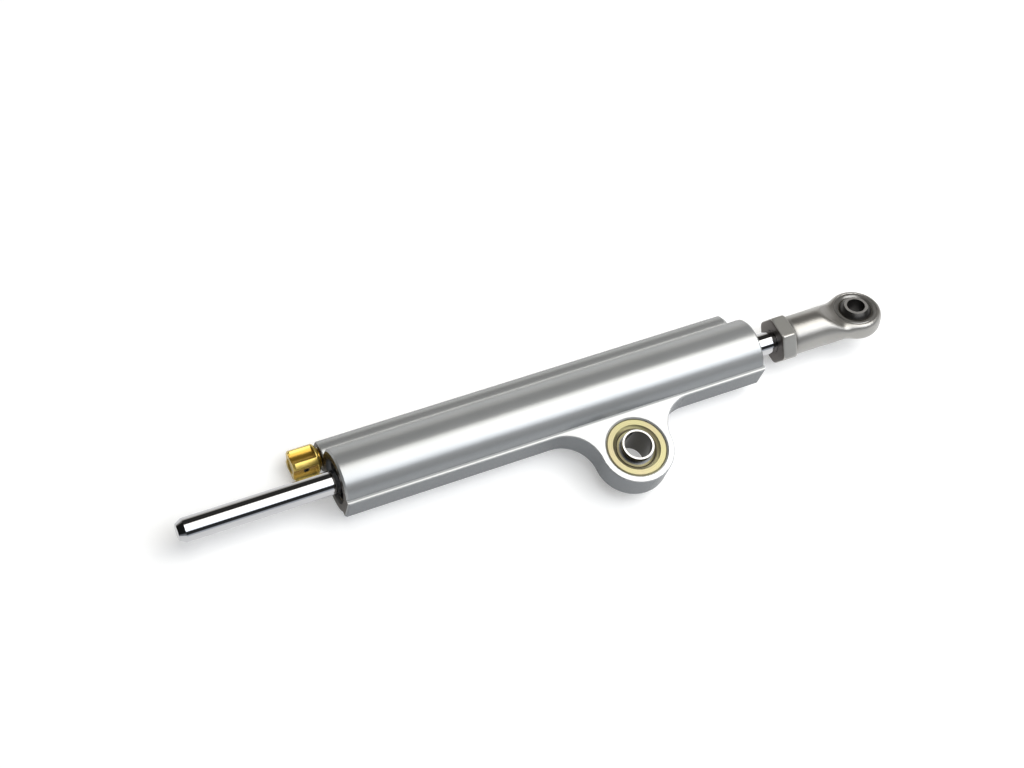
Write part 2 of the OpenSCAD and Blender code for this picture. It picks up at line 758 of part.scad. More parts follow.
// the fluted knob: ridges, plain rim, boss with its ring of clicks, and the set screw's hole
module adjuster_knob() {
    flute_x = knob_r - flute_deep + flute_r;
    color("gold") in_barrel() rotate([0, 0, knob_turn + 90]) difference() {
        union() {
            bar(knob_face, -knob_gap, knob_r, knob_bevel);
            translate([0, 0, -knob_gap - cut]) cylinder(h = knob_gap - boss_play + cut, r = boss_r);
        }
        translate([0, 0, stem_from - fit]) cylinder(h = cut - stem_from, r = stem_r + fit);
        for (k = [0:flutes - 1]) rotate([0, 0, 360 * k / flutes]) translate([flute_x, 0, knob_face - cut])
            cylinder(h = knob_len - knob_rim + cut, r = flute_r);
        translate([0, 0, grub_at]) rotate([0, 90, 0]) cylinder(h = knob_r, d = grub_d + 2 * fit);
        translate([0, 0, detent_z]) rotate_extrude() translate([detent_at, 0])
            circle(r = detent_d / 2 + detent_gap, $fn = ring_fn);
        for (k = [0:clicks - 1]) rotate([0, 0, 360 * k / clicks]) translate([detent_at, 0, -knob_gap / 2])
            cylinder(h = cut, d = detent_d / 2);
        translate([0, 0, knob_face - cut]) cylinder(h = dish_deep + cut, r = knob_r - flute_deep - dish_in);
    }
}

// a headless screw that grips the stem from the bottom of a flute
module knob_set_screw() {
    top = knob_r - flute_deep - grub_in;
    color("dimgray") in_barrel() rotate([0, 0, knob_turn + 90]) translate([0, 0, grub_at]) rotate([0, 90, 0])
        difference() {
            translate([0, 0, stem_r + fit]) cylinder(h = top - stem_r - fit, d = grub_d);
            translate([0, 0, top - grub_hex_deep])
                cylinder(h = grub_hex_deep + cut, d = grub_d / 2 / cos(30), $fn = 6);
        }
}

module detent_ball() {
    color("white") in_barrel() translate([detent_at, 0, detent_z]) sphere(d = detent_d);
}

module detent_spring() {
    color("slategray") in_barrel() translate([detent_at, 0, 0]) wire("detent spring",
        detent_d / 2 - detent_wire - ring_play, detent_turns, detent_spring_at, detent_hole - fit, detent_wire);
}

module piston_rod() {
    clip_w = clip_t + 2 * ring_play;
    shoulder = nut_x - fit - x_tip + rod_tip;
    color("whitesmoke") difference() {
        union() {
            on_rod(x_tip - rod_tip) rotate_extrude() polygon([[0, 0], [rod_r - tip_bevel, 0],
                [rod_r, tip_bevel_len], [rod_r, shoulder], [0, shoulder]]);
            on_rod(nut_x - cut) bar(0, rod_end_x - nut_x + cut, thread_d / 2, piston_bevel);
        }
        on_rod(piston_x - clip_w) ring(0, clip_w, rod_r + cut, rod_r - clip_deep);
        on_rod(piston_x + piston_len) ring(0, clip_w, rod_r + cut, rod_r - clip_deep);
    }
}

module piston() {
    color("tan") on_rod(piston_x) difference() {
        bar(0, piston_len, piston_r, piston_bevel);
        translate([0, 0, -cut]) cylinder(h = piston_len + 2 * cut, r = rod_r + fit);
        groove(piston_len / 2, band_w + 4 * run, piston_r, band_floor);
    }
}

module piston_clips() {
    color("gray") for (x = [piston_x - clip_t - ring_play, piston_x + piston_len + ring_play]) on_rod(x)
        difference() {
            ring(0, clip_t, rod_r + clip_t / 2, rod_r - clip_deep + fit);
            translate([0, -clip_t / 2, -cut]) cube([rod_d, clip_t, clip_t + 2 * cut]);
        }
}

module piston_o_ring() {
    color("black") on_rod(piston_x)
        o_ring(piston_len / 2, band_floor + band_ring_d / 2, band_ring_d - 2 * fit);
}

module piston_band() {
    color("ivory") on_rod(piston_x)
        ring((piston_len - band_w) / 2, (piston_len + band_w) / 2, band_out, band_in);
}

// a hexagon whose corners are turned off at both faces
module jam_nut() {
    corner = nut_af / 2 / cos(30);
    turned = nut_turned * (corner - nut_af / 2);
    color("darkgray") on_rod(nut_x) rotate([0, 0, nut_turn]) difference() {
        intersection() {
            cylinder(h = nut_t, r = corner, $fn = 6);
            bar(0, nut_t, corner, turned);
        }
        translate([0, 0, -cut]) cylinder(h = nut_t + 2 * cut, d = thread_d + 2 * fit);
    }
}

// places the rod end with its eye's centre at the origin and the eye's axis along Z
module at_eye() {
    translate([eye_x, lug_off, 0]) rotate([eye_turn, 0, 0]) children();
}

// the rod end: turned shank flaring into the head, milled to two flats, with a threaded socket
module rod_end_body() {
    shank_r = shank_d / 2;
    head_r = eye_head_d / 2;
    flat = eye_head_w / 2;
    neck = neck_w / 2;
    // radius of the flare that leaves the shank and meets the head's rim smoothly, and the angle it turns
    flare_r = (pow(flare_from, 2) + shank_r * shank_r - head_r * head_r) / 2 / (head_r - shank_r);
    flare_a = atan2(flare_from, shank_r + flare_r);
    flare = [for (k = [1:flare_steps]) let (a = flare_a * k / flare_steps)
        [shank_r + flare_r * (1 - cos(a)), -flare_from + flare_r * sin(a)]];
    // the ramps down to the neck, carried past the shank's sides
    ramp_to = ramp_len - ramp_at;
    ramp_from = -ramp_at - (head_r - shank_r) * ramp_len / (shank_r - neck);
    color("silver") at_eye() difference() {
        union() {
            bar(-flat, flat, head_r, eye_bevel);
            intersection() {
                rotate([0, 90, 0]) rotate_extrude()
                    polygon(concat([[0, -eye_h], [shank_r - end_bevel, -eye_h], [shank_r, end_bevel - eye_h],
                        [shank_r, -flare_from]], flare, [[0, flare[flare_steps - 1][1]]]));
                rotate([90, 0, 0]) linear_extrude(2 * eye_head_d, center = true)
                    polygon([[-eye_h - cut, -head_r], [ramp_from, -head_r], [ramp_to, -neck], [0, -neck], [0, neck],
                        [ramp_to, neck], [ramp_from, head_r], [-eye_h - cut, head_r]]);
            }
        }
        cylinder(h = eye_head_w + 2 * cut, d = eye_seat_d, center = true);
        translate([-eye_h - cut, 0, 0]) rotate([0, 90, 0])
            cylinder(h = thread_in + drill_past + cut, d = thread_d + 2 * fit);
    }
}

module rod_end_race() {
    color("gray") at_eye()
        race(eye_seat_d / 2 - fit, eye_race_w, eye_ball_r + liner_t + 2 * run, eye_race_bevel, eye_mouth);
}

module rod_end_liner() {
    color("darkkhaki") at_eye() liner(eye_liner_w, eye_ball_r + run, eye_ball_r + run + liner_t);
}

module rod_end_ball() {
    color("lightgray") at_eye() difference() {
        intersection() {
            sphere(r = eye_ball_r);
            cylinder(h = eye_ball_w, r = eye_ball_r + cut, center = true);
        }
        cylinder(h = eye_ball_w + 2 * cut, d = eye_bore_d, center = true);
    }
}

damper_body();
lug_race();
lug_liner();
lug_ball();
tip_gland();
end_gland();
gland_o_rings();
gland_circlips();
rod_bushes();
rod_seals();
rod_wipers();
bump_stops();
barrel_plug();
plug_o_ring();
compensator_piston();
compensator_o_ring();
compensator_spring();
adjuster_cartridge();
cartridge_o_ring();
adjuster_stem();
stem_o_ring();
metering_needle();
valve_seat();
adjuster_knob();
knob_set_screw();
detent_ball();
detent_spring();
piston_rod();
piston();
piston_clips();
piston_o_ring();
piston_band();
jam_nut();
rod_end_body();
rod_end_race();
rod_end_liner();
rod_end_ball();
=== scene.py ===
"""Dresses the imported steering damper: finishes, small turned details, studio light and camera."""
import json
import logging
import math
from collections.abc import Callable
from dataclasses import dataclass
from enum import Enum

import bmesh
import bpy
import numpy as np
from mathutils import Matrix, Vector


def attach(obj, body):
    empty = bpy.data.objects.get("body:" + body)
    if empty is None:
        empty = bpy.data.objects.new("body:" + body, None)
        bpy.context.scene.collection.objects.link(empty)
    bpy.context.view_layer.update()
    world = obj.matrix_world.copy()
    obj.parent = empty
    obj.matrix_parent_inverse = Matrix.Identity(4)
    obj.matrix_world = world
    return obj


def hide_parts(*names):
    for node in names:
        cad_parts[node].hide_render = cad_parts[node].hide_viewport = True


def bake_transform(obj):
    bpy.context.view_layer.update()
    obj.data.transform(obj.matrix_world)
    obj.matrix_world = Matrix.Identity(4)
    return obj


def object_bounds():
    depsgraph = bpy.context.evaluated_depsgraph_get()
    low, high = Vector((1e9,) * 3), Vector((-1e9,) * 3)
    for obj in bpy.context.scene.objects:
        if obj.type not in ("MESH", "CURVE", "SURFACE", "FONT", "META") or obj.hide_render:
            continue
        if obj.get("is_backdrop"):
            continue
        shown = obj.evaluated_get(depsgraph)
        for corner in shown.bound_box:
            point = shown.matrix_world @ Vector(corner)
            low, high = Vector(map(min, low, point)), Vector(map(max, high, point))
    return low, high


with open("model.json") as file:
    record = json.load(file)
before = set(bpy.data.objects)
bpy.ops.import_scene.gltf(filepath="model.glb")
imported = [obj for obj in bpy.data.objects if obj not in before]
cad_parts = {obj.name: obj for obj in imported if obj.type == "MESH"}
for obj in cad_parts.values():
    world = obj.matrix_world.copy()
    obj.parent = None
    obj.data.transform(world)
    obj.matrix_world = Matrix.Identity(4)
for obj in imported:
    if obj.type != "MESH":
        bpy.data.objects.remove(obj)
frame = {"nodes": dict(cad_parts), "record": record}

LOG = logging.getLogger("damper")
MM = 0.001
LEAST_ROUGHNESS = 0.02
Colour = tuple[float, float, float]
Way = tuple[float, float, float]
Place = tuple[float, float, float]
Range = tuple[float, float]
Tree = bpy.types.NodeTree
Socket = bpy.types.NodeSocket
ALONG_X: Way = (1.0, 0.0, 0.0)
ALONG_Y: Way = (0.0, 1.0, 0.0)
ALONG_Z: Way = (0.0, 0.0, 1.0)


class Grain(Enum):
    """The way a surface was worked, which sets the run of its fine marks."""

    BLASTED = "an even speckle in all directions"
    TURNED_X = "rings about the rod's direction"
    TURNED_Z = "rings about the lug's bore"


class Axis(Enum):
    """One of the frame's three directions, by the name of its socket."""

    X = "X"
    Y = "Y"
    Z = "Z"


class Side(Enum):
    """The body's two ends: the sign of X there."""

    TIP = -1
    END = 1


def stepped(tree: Tree, value: Socket, reach: Range = (0.0, 1.0), levels: Range = (0.0, 1.0),
            smooth: bool = False) -> Socket:
    """Runs from one level to another as a value goes over a range, and stays level past it.

    Args:
        tree: The node tree.
        value: The value's socket.
        reach: The values at which the two levels are met.
        levels: The two levels.
        smooth: Whether the run eases in and out.

    Returns:
        The level's socket.
    """
    ramp = tree.nodes.new("ShaderNodeMapRange")
    ramp.interpolation_type = "SMOOTHSTEP" if smooth else "LINEAR"
    ramp.inputs["From Min"].default_value, ramp.inputs["From Max"].default_value = reach
    ramp.inputs["To Min"].default_value, ramp.inputs["To Max"].default_value = levels
    tree.links.new(value, ramp.inputs["Value"])
    return ramp.outputs["Result"]


def paired(tree: Tree, operation: str, first: Socket, second: Socket) -> Socket:
    """Works out one value from two.

    Args:
        tree: The node tree.
        operation: The Math node's operation.
        first: The first value's socket.
        second: The second value's socket.

    Returns:
        The result's socket.
    """
    node = tree.nodes.new("ShaderNodeMath")
    node.operation = operation
    tree.links.new(first, node.inputs[0])
    tree.links.new(second, node.inputs[1])
    return node.outputs["Value"]


def points_mm(mesh: bpy.types.Mesh) -> np.ndarray:
    """Reads a mesh's points.

    Args:
        mesh: The mesh.

    Returns:
        A row of x, y and z for each point, in millimetres.
    """
    flat = np.empty(3 * len(mesh.vertices), dtype=np.float32)
    mesh.vertices.foreach_get("co", flat)
    return flat.reshape(-1, 3).astype(float) / MM


def linked(name: str, data: bpy.types.ID) -> bpy.types.Object:
    """Makes an object at the origin and links it to the scene.

    Args:
        name: The object's name.
        data: Its mesh, lamp or camera.

    Returns:
        The object.
    """
    obj = bpy.data.objects.new(name, data)
    bpy.context.scene.collection.objects.link(obj)
    return obj


def body_of(node: str) -> str:
    """Finds the body that a CAD node belongs to.

    Args:
        node: The node's name.

    Returns:
        The body's name in the record.
    """
    bodies = frame["record"]["behaviour"]["bodies"]
    return next(name for name, nodes in bodies.items() if node in nodes)


@dataclass(frozen=True)
class FaceTone:
    """Another tone on the faces that look one way, and where wanted only past a plane. Most are painted shade
    or painted highlight, fixed to the way a face looks.

    The share of the tone is the product of two ramps. One runs with the size of the normal's
    component along facing, and the other with the place along place_way, in millimetres. Where about_mm
    is given, the distance from the line along X through that point counts as the place.
    """

    colour: Colour
    facing: Way
    facing_range: Range
    signed: bool = False
    place_way: Way = ALONG_X
    place_range_mm: Range | None = None
    about_mm: Place | None = None

    def lay(self, tree: Tree, under: Socket) -> Socket:
        """Mixes the tone over a colour.

        Args:
            tree: The material's node tree.
            under: The colour without the tone.

        Returns:
            The colour with the tone.
        """
        coords = tree.nodes.new("ShaderNodeTexCoord")
        share = self._ramp(tree, coords.outputs["Normal"], self.facing, self.facing_range, self.signed)
        if self.place_range_mm is not None:
            reach = (self.place_range_mm[0] * MM, self.place_range_mm[1] * MM)
            place = coords.outputs["Object"]
            if self.about_mm is not None:
                place = self._away(tree, place, self.about_mm)
            beyond = self._ramp(tree, place, self.place_way, reach, True)
            share = paired(tree, "MULTIPLY", share, beyond)
        mix = tree.nodes.new("ShaderNodeMixRGB")
        mix.inputs["Color2"].default_value = (*self.colour, 1.0)
        tree.links.new(share, mix.inputs["Fac"])
        tree.links.new(under, mix.inputs["Color1"])
        return mix.outputs["Color"]

    def _away(self, tree: Tree, place: Socket,
              about_mm: Place) -> Socket:
        """Measures the distance from a line along X: the length of the place's part across it.

        Args:
            tree: The material's node tree.
            place: The place's vector socket.
            about_mm: A point on the line.

        Returns:
            The distance's value socket, which fills all three components where a vector is wanted.
        """
        across = tree.nodes.new("ShaderNodeVectorMath")
        across.operation = "MULTIPLY_ADD"
        across.inputs[1].default_value = (0.0, 1.0, 1.0)
        across.inputs[2].default_value = (0.0, -about_mm[1] * MM, -about_mm[2] * MM)
        tree.links.new(place, across.inputs[0])
        length = tree.nodes.new("ShaderNodeVectorMath")
        length.operation = "LENGTH"
        tree.links.new(across.outputs["Vector"], length.inputs[0])
        return length.outputs["Value"]

    def _ramp(self, tree: Tree, vector: Socket, way: Way,
              reach: Range, signed: bool) -> Socket:
        """Runs from 0 to 1 as a vector's component along one way goes over a range.

        Args:
            tree: The material's node tree.
            vector: The vector socket.
            way: The unit direction of the component that counts.
            reach: Where the ramp is 0 and where it is 1.
            signed: False takes the component's size without its sign.

        Returns:
            The ramp's value socket.
        """
        dot = tree.nodes.new("ShaderNodeVectorMath")
        dot.operation = "DOT_PRODUCT"
        dot.inputs[1].default_value = way
        tree.links.new(vector, dot.inputs[0])
        value = dot.outputs["Value"]
        if not signed:
            size = tree.nodes.new("ShaderNodeMath")
            size.operation = "ABSOLUTE"
            tree.links.new(value, size.inputs[0])
            value = size.outputs["Value"]
        return stepped(tree, value, reach)


@dataclass(frozen=True)
class Finish:
    """A metal, rubber or plastic finish with colour drift, fine marks and tones by facing in its nodes; most
    of the tones are painted shade or painted highlight.

    The colour drifts between base and shade with a slow noise, the roughness wanders about its
    mean with the same marks that raise the surface, and the marks follow the grain.
    """

    name: str
    base: Colour
    shade: Colour
    metallic: float
    roughness: float
    grain: Grain
    mark_mm: float = 0.25
    mark_depth: float = 0.05
    wander: float = 0.06
    drift_mm: float = 18.0
    centre_mm: Place = (0.0, 0.0, 0.0)
    turn_deg: float = 0.0
    gloss: float = 0.5
    edge_level: float = 1.0
    tones: tuple[FaceTone, ...] = ()
    mark_detail: float = 3.0
    mark_mix: float = 0.6
    drift_detail: float = 4.0
    drift_reach: Range = (0.35, 0.65)

    def build(self) -> bpy.types.Material:
        """Makes the node material.

        Returns:
            The Blender material, ready to assign.
        """
        material = bpy.data.materials.new(self.name)
        material.use_nodes = True
        tree = material.node_tree
        shader = tree.nodes["Principled BSDF"]
        shader.inputs["Metallic"].default_value = self.metallic
        shader.inputs["Specular IOR Level"].default_value = self.gloss
        shader.inputs["Specular Tint"].default_value = (self.edge_level,) * 3 + (1.0,)
        marks = self._marks(tree)
        colour = self._drift(tree)
        for tone in self.tones:
            colour = tone.lay(tree, colour)
        tree.links.new(colour, shader.inputs["Base Color"])
        levels = (max(LEAST_ROUGHNESS, self.roughness - self.wander), self.roughness + self.wander)
        tree.links.new(stepped(tree, marks, levels=levels), shader.inputs["Roughness"])
        bump = tree.nodes.new("ShaderNodeBump")
        bump.inputs["Strength"].default_value = self.mark_depth
        bump.inputs["Distance"].default_value = self.mark_mm * MM
        tree.links.new(marks, bump.inputs["Height"])
        tree.links.new(bump.outputs["Normal"], shader.inputs["Normal"])
        return material

    def _place(self, tree: Tree) -> Socket:
        """Gives Object coordinates with the finish's centre at the origin and its axis upright.

        Args:
            tree: The material's node tree.

        Returns:
            The vector socket.
        """
        coords = tree.nodes.new("ShaderNodeTexCoord")
        moved = tree.nodes.new("ShaderNodeMapping")
        moved.vector_type = "TEXTURE"
        moved.inputs["Location"].default_value = [c * MM for c in self.centre_mm]
        moved.inputs["Rotation"].default_value = (math.radians(self.turn_deg), 0.0, 0.0)
        tree.links.new(coords.outputs["Object"], moved.inputs["Vector"])
        return moved.outputs["Vector"]

    def _rings(self, tree: Tree, place: Socket) -> Socket:
        """Turns a place into (along, radius) about the grain's axis, so marks run round it.

        Args:
            tree: The material's node tree.
            place: The centred place.

        Returns:
            A vector socket that is the same all the way round the axis.
        """
        parts = tree.nodes.new("ShaderNodeSeparateXYZ")
        tree.links.new(place, parts.inputs["Vector"])
        along, across = ("X", ("Y", "Z")) if self.grain is Grain.TURNED_X else ("Z", ("X", "Y"))
        flat = tree.nodes.new("ShaderNodeCombineXYZ")
        for socket, axis in zip(("X", "Y"), across):
            tree.links.new(parts.outputs[axis], flat.inputs[socket])
        radius = tree.nodes.new("ShaderNodeVectorMath")
        radius.operation = "LENGTH"
        tree.links.new(flat.outputs["Vector"], radius.inputs[0])
        rings = tree.nodes.new("ShaderNodeCombineXYZ")
        tree.links.new(parts.outputs[along], rings.inputs["X"])
        tree.links.new(radius.outputs["Value"], rings.inputs["Y"])
        return rings.outputs["Vector"]

    def _marks(self, tree: Tree) -> Socket:
        """Makes the fine marks as a noise whose cells follow the grain.

        Args:
            tree: The material's node tree.

        Returns:
            A value socket from 0 to 1.
        """
        place = self._place(tree)
        if self.grain in (Grain.TURNED_X, Grain.TURNED_Z):
            place = self._rings(tree, place)
        noise = tree.nodes.new("ShaderNodeTexNoise")
        noise.inputs["Scale"].default_value = 1.0 / (self.mark_mm * MM)
        noise.inputs["Detail"].default_value = self.mark_detail
        noise.inputs["Roughness"].default_value = self.mark_mix
        tree.links.new(place, noise.inputs["Vector"])
        return noise.outputs["Fac"]

    def _drift(self, tree: Tree) -> Socket:
        """Mixes the base colour and its shade with a slow noise.

        Args:
            tree: The material's node tree.

        Returns:
            The colour socket.
        """
        noise = tree.nodes.new("ShaderNodeTexNoise")
        noise.inputs["Scale"].default_value = 1.0 / (self.drift_mm * MM)
        noise.inputs["Detail"].default_value = self.drift_detail
        tree.links.new(self._place(tree), noise.inputs["Vector"])
        ramp = tree.nodes.new("ShaderNodeValToRGB")
        ends = zip(ramp.color_ramp.elements, self.drift_reach, (self.shade, self.base))
        for element, position, colour in ends:
            element.position, element.color = position, (*colour, 1.0)
        tree.links.new(noise.outputs["Fac"], ramp.inputs["Fac"])
        return ramp.outputs["Color"]


ROD_AXIS_MM: Place = (0.0, 28.4, 0.0)
BARREL_AXIS_MM: Place = (0.0, 43.8, -8.5)
EYE_MM: Place = (123.5, 28.4, 0.0)
EYE_TURN_DEG = -18.6
EYE_WAY: Way = (0.0, 0.318959, 0.947768)
BODY_MIDDLE_MM = -26.5

# Painted shade: the tube's front flank, the faces looking towards -Y, is darker.
TUBE_FLANK_PAINTED_SHADE = FaceTone((0.285, 0.293, 0.298), ALONG_Y, (-0.64, -0.84), signed=True)
# Painted shade: upright walls in front of the flange plane, the flange's face and the lug's sides, are
# darker.
WALL_PAINTED_SHADE = FaceTone((0.235, 0.245, 0.255), ALONG_Z, (0.5, 0.3),
                       place_way=ALONG_Y, place_range_mm=(15.3, 14.9))
# Painted highlight: faces looking up in front of the flange plane, the lug's top and the flange's top shelf,
# are lighter.
TOP_PAINTED_HIGHLIGHT = FaceTone((0.50, 0.508, 0.517), ALONG_Z, (0.6, 0.68),
                      place_way=ALONG_Y, place_range_mm=(15.75, 15.55))
# Painted shade: faces looking up on the flange's top, near its root at the tube, are darker.
FLANGE_ROOT_PAINTED_SHADE = FaceTone((0.22, 0.228, 0.235), ALONG_Z, (0.6, 0.68),
                       place_way=ALONG_Y, place_range_mm=(17.2, 16.9))
TIP_FACE = FaceTone((0.085, 0.07, 0.05), ALONG_X, (0.85, 0.95), place_range_mm=(-121.4, -122.0))
END_FACE = FaceTone((0.10, 0.09, 0.075), ALONG_X, (0.85, 0.95), place_range_mm=(67.0, 67.6))
# Painted shade: the nut's face towards the body, facing -X, is darker.
NUT_FACE_PAINTED_SHADE = FaceTone((0.14, 0.125, 0.115), ALONG_X, (-0.8, -0.95), signed=True)
# Painted shade: faces of the lug ball that look across the lug's axis, its bore above all, are darker.
BALL_BORE_PAINTED_SHADE = FaceTone((0.055, 0.052, 0.046), ALONG_Z, (0.3, 0.1))
# Painted shade: the rod end's two ramps and the flat faces of its head are darker.
UPPER_RAMP_PAINTED_SHADE = FaceTone((0.2, 0.19, 0.178), (0.495, 0.277, 0.824), (0.9, 0.975), signed=True)
LOWER_RAMP_PAINTED_SHADE = FaceTone((0.2, 0.19, 0.178), (0.495, -0.277, -0.824), (0.9, 0.975), signed=True)
HEAD_FACE_PAINTED_SHADE = FaceTone((0.22, 0.21, 0.197), EYE_WAY, (0.94, 0.99))
# Painted shade: the knob's flute floors, and all else round the barrel's axis inside 5.2 mm that looks
# sideways, are darker orange-brown.
FLUTE_PAINTED_SHADE = FaceTone((0.41, 0.245, 0.034), ALONG_X, (0.7, 0.4), place_range_mm=(5.9, 5.2),
                       about_mm=BARREL_AXIS_MM)
# Painted shade: the rod end ball's round, inside the race, is near black; its flat faces keep the steel's
# colour.
EYE_BALL_PAINTED_SHADE = FaceTone((0.035, 0.033, 0.031), EYE_WAY, (0.97, 0.8))

# Its tones: painted shade on the front flank, upright walls and flange root, a painted highlight on faces
# looking up in front of the flange, and darker brown end faces.
ANODISED = Finish("anodised_alloy", (0.395, 0.402, 0.405), (0.378, 0.386, 0.388), 0.52, 0.26, Grain.BLASTED,
                  mark_mm=0.18, mark_depth=0.03, wander=0.04, centre_mm=ROD_AXIS_MM, gloss=0.25,
                  edge_level=0.45,
                  tones=(TUBE_FLANK_PAINTED_SHADE, WALL_PAINTED_SHADE, FLANGE_ROOT_PAINTED_SHADE, TOP_PAINTED_HIGHLIGHT, TIP_FACE, END_FACE))
CHROME = Finish("hard_chrome", (0.52, 0.52, 0.53), (0.49, 0.49, 0.505), 1.0, 0.06, Grain.TURNED_X,
                mark_mm=0.12, mark_depth=0.003, wander=0.03, centre_mm=ROD_AXIS_MM)
# Its tone is painted shade in the flutes.
GOLD_KNOB = Finish("gold_anodised", (0.56, 0.425, 0.115), (0.50, 0.365, 0.085), 0.72, 0.25, Grain.TURNED_X,
                   mark_mm=0.2, mark_depth=0.03, drift_mm=6.0, centre_mm=BARREL_AXIS_MM, tones=(FLUTE_PAINTED_SHADE,))
YELLOW_PLATE = Finish("yellow_plated", (0.315, 0.295, 0.155), (0.315, 0.275, 0.165), 0.7, 0.28,
                      Grain.TURNED_Z, mark_mm=0.22, mark_depth=0.06, drift_mm=12.0)
# Its tone is painted shade in the bore.
BALL_STEEL = Finish("ball_steel", (0.45, 0.445, 0.44), (0.38, 0.375, 0.37), 1.0, 0.16, Grain.TURNED_Z,
                    mark_mm=0.15, mark_depth=0.03, wander=0.04, tones=(BALL_BORE_PAINTED_SHADE,))
# Its tone is painted shade on the ball's round.
EYE_BALL_STEEL = Finish("eye_ball_steel", (0.54, 0.525, 0.505), (0.47, 0.455, 0.44), 0.7, 0.30,
                        Grain.TURNED_Z, mark_mm=0.15, mark_depth=0.05, wander=0.05, centre_mm=EYE_MM,
                        turn_deg=EYE_TURN_DEG, tones=(EYE_BALL_PAINTED_SHADE,))
# Its tones are painted shade on the ramps and the head's flat faces.
SATIN_STEEL = Finish("satin_plated_steel", (0.37, 0.36, 0.342), (0.325, 0.316, 0.302), 0.64, 0.33,
                     Grain.BLASTED, mark_mm=0.22, mark_depth=0.06, tones=(UPPER_RAMP_PAINTED_SHADE, LOWER_RAMP_PAINTED_SHADE, HEAD_FACE_PAINTED_SHADE))
# Its tone is painted shade on the nut's face towards the body.
NUT_STEEL = Finish("zinc_plated_steel", (0.435, 0.428, 0.405), (0.385, 0.378, 0.358), 0.64, 0.32,
                   Grain.BLASTED, mark_mm=0.25, mark_depth=0.06, tones=(NUT_FACE_PAINTED_SHADE,))
RACE_STEEL = Finish("race_steel", (0.28, 0.27, 0.255), (0.23, 0.222, 0.21), 0.7, 0.3, Grain.TURNED_Z,
                    mark_mm=0.2, mark_depth=0.06, centre_mm=EYE_MM, turn_deg=EYE_TURN_DEG)
DARK_ALLOY = Finish("hard_anodised", (0.06, 0.042, 0.03), (0.04, 0.03, 0.022), 0.6, 0.4, Grain.TURNED_X,
                    mark_mm=0.2, mark_depth=0.08, centre_mm=ROD_AXIS_MM)
RUBBER = Finish("nitrile_rubber", (0.022, 0.021, 0.02), (0.015, 0.015, 0.015), 0.0, 0.62, Grain.BLASTED,
                mark_mm=0.12, mark_depth=0.12)
SPRING_STEEL = Finish("spring_steel", (0.34, 0.34, 0.35), (0.27, 0.27, 0.28), 1.0, 0.3, Grain.BLASTED,
                      mark_mm=0.1, mark_depth=0.05)
BRONZE = Finish("bush_bronze", (0.55, 0.36, 0.17), (0.45, 0.29, 0.13), 1.0, 0.34, Grain.TURNED_X,
                mark_mm=0.2, mark_depth=0.08, centre_mm=ROD_AXIS_MM)
PISTON_ALLOY = Finish("piston_alloy", (0.58, 0.53, 0.44), (0.50, 0.46, 0.38), 1.0, 0.32, Grain.TURNED_X,
                      mark_mm=0.2, mark_depth=0.08, centre_mm=ROD_AXIS_MM)
SLEEVE_ALLOY = Finish("sleeve_alloy", (0.55, 0.52, 0.45), (0.48, 0.45, 0.39), 1.0, 0.3, Grain.TURNED_X,
                      mark_mm=0.18, mark_depth=0.07, centre_mm=BARREL_AXIS_MM)
BAND_PLASTIC = Finish("slippery_plastic", (0.74, 0.71, 0.62), (0.68, 0.64, 0.55), 0.0, 0.5, Grain.TURNED_X,
                      mark_mm=0.2, mark_depth=0.05, centre_mm=ROD_AXIS_MM)
VALVE_STEEL = Finish("ground_steel", (0.6, 0.6, 0.61), (0.54, 0.54, 0.55), 1.0, 0.2, Grain.TURNED_X,
                     mark_mm=0.12, mark_depth=0.04, centre_mm=BARREL_AXIS_MM)
SEAT_BRASS = Finish("seat_brass", (0.68, 0.5, 0.2), (0.6, 0.43, 0.16), 1.0, 0.28, Grain.TURNED_X,
                    mark_mm=0.15, mark_depth=0.06, centre_mm=BARREL_AXIS_MM)
BLACK_STEEL = Finish("blackened_steel", (0.05, 0.05, 0.052), (0.035, 0.035, 0.036), 0.9, 0.35, Grain.BLASTED,
                     mark_mm=0.1, mark_depth=0.08)
LUG_LINER = Finish("lug_liner_cloth", (0.16, 0.135, 0.075), (0.12, 0.10, 0.055), 0.0, 0.7, Grain.BLASTED,
                   mark_mm=0.2, mark_depth=0.2)
# The rod end's liner is near black: partly a dark liner, partly painted shade for the gap between race and
# ball.
LINER_CLOTH_AND_GAP_SHADE = Finish("liner_cloth", (0.045, 0.04, 0.03), (0.03, 0.027, 0.02), 0.0, 0.7, Grain.BLASTED,
                     mark_mm=0.2, mark_depth=0.2)


class Wardrobe:
    """Builds each finish once and puts it on nodes and pieces."""

    def __init__(self) -> None:
        """Starts with no material built."""
        self._made: dict[str, bpy.types.Material] = {}

    def material(self, finish: Finish) -> bpy.types.Material:
        """Gives the material of a finish, built on first use.

        Args:
            finish: The finish wanted.

        Returns:
            Its one material.
        """
        if finish.name not in self._made:
            self._made[finish.name] = finish.build()
        return self._made[finish.name]

    def dress(self, obj: bpy.types.Object, finish: Finish) -> None:
        """Puts a finish into every material slot of an object.

        Args:
            obj: The object to dress.
            finish: The finish it gets.
        """
        material = self.material(finish)
        if not obj.material_slots:
            obj.data.materials.append(material)
        for slot in obj.material_slots:
            slot.material = material

    def dress_nodes(self, finishes: dict[str, Finish]) -> None:
        """Puts finishes on CAD nodes by name.

        Args:
            finishes: The finish of each node.
        """
        for node, finish in finishes.items():
            self.dress(frame["nodes"][node], finish)
            LOG.info("dressed %s in %s", node, finish.name)

    def stand_in(self, piece: bpy.types.Object, node: str, body: str, finish: Finish) -> None:
        """Dresses a piece, lets it ride on a body and hides the node that it stands for.

        Args:
            piece: The new piece.
            node: The CAD node that it replaces.
            body: The body that carries it.
            finish: Its finish.
        """
        self.dress(piece, finish)
        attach(piece, body)
        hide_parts(node)
        LOG.info("made %s for %s on %s", piece.name, node, body)


Grid = tuple[np.ndarray, np.ndarray]
PointRule = Callable[[np.ndarray], np.ndarray]
Section = tuple[Range, ...]


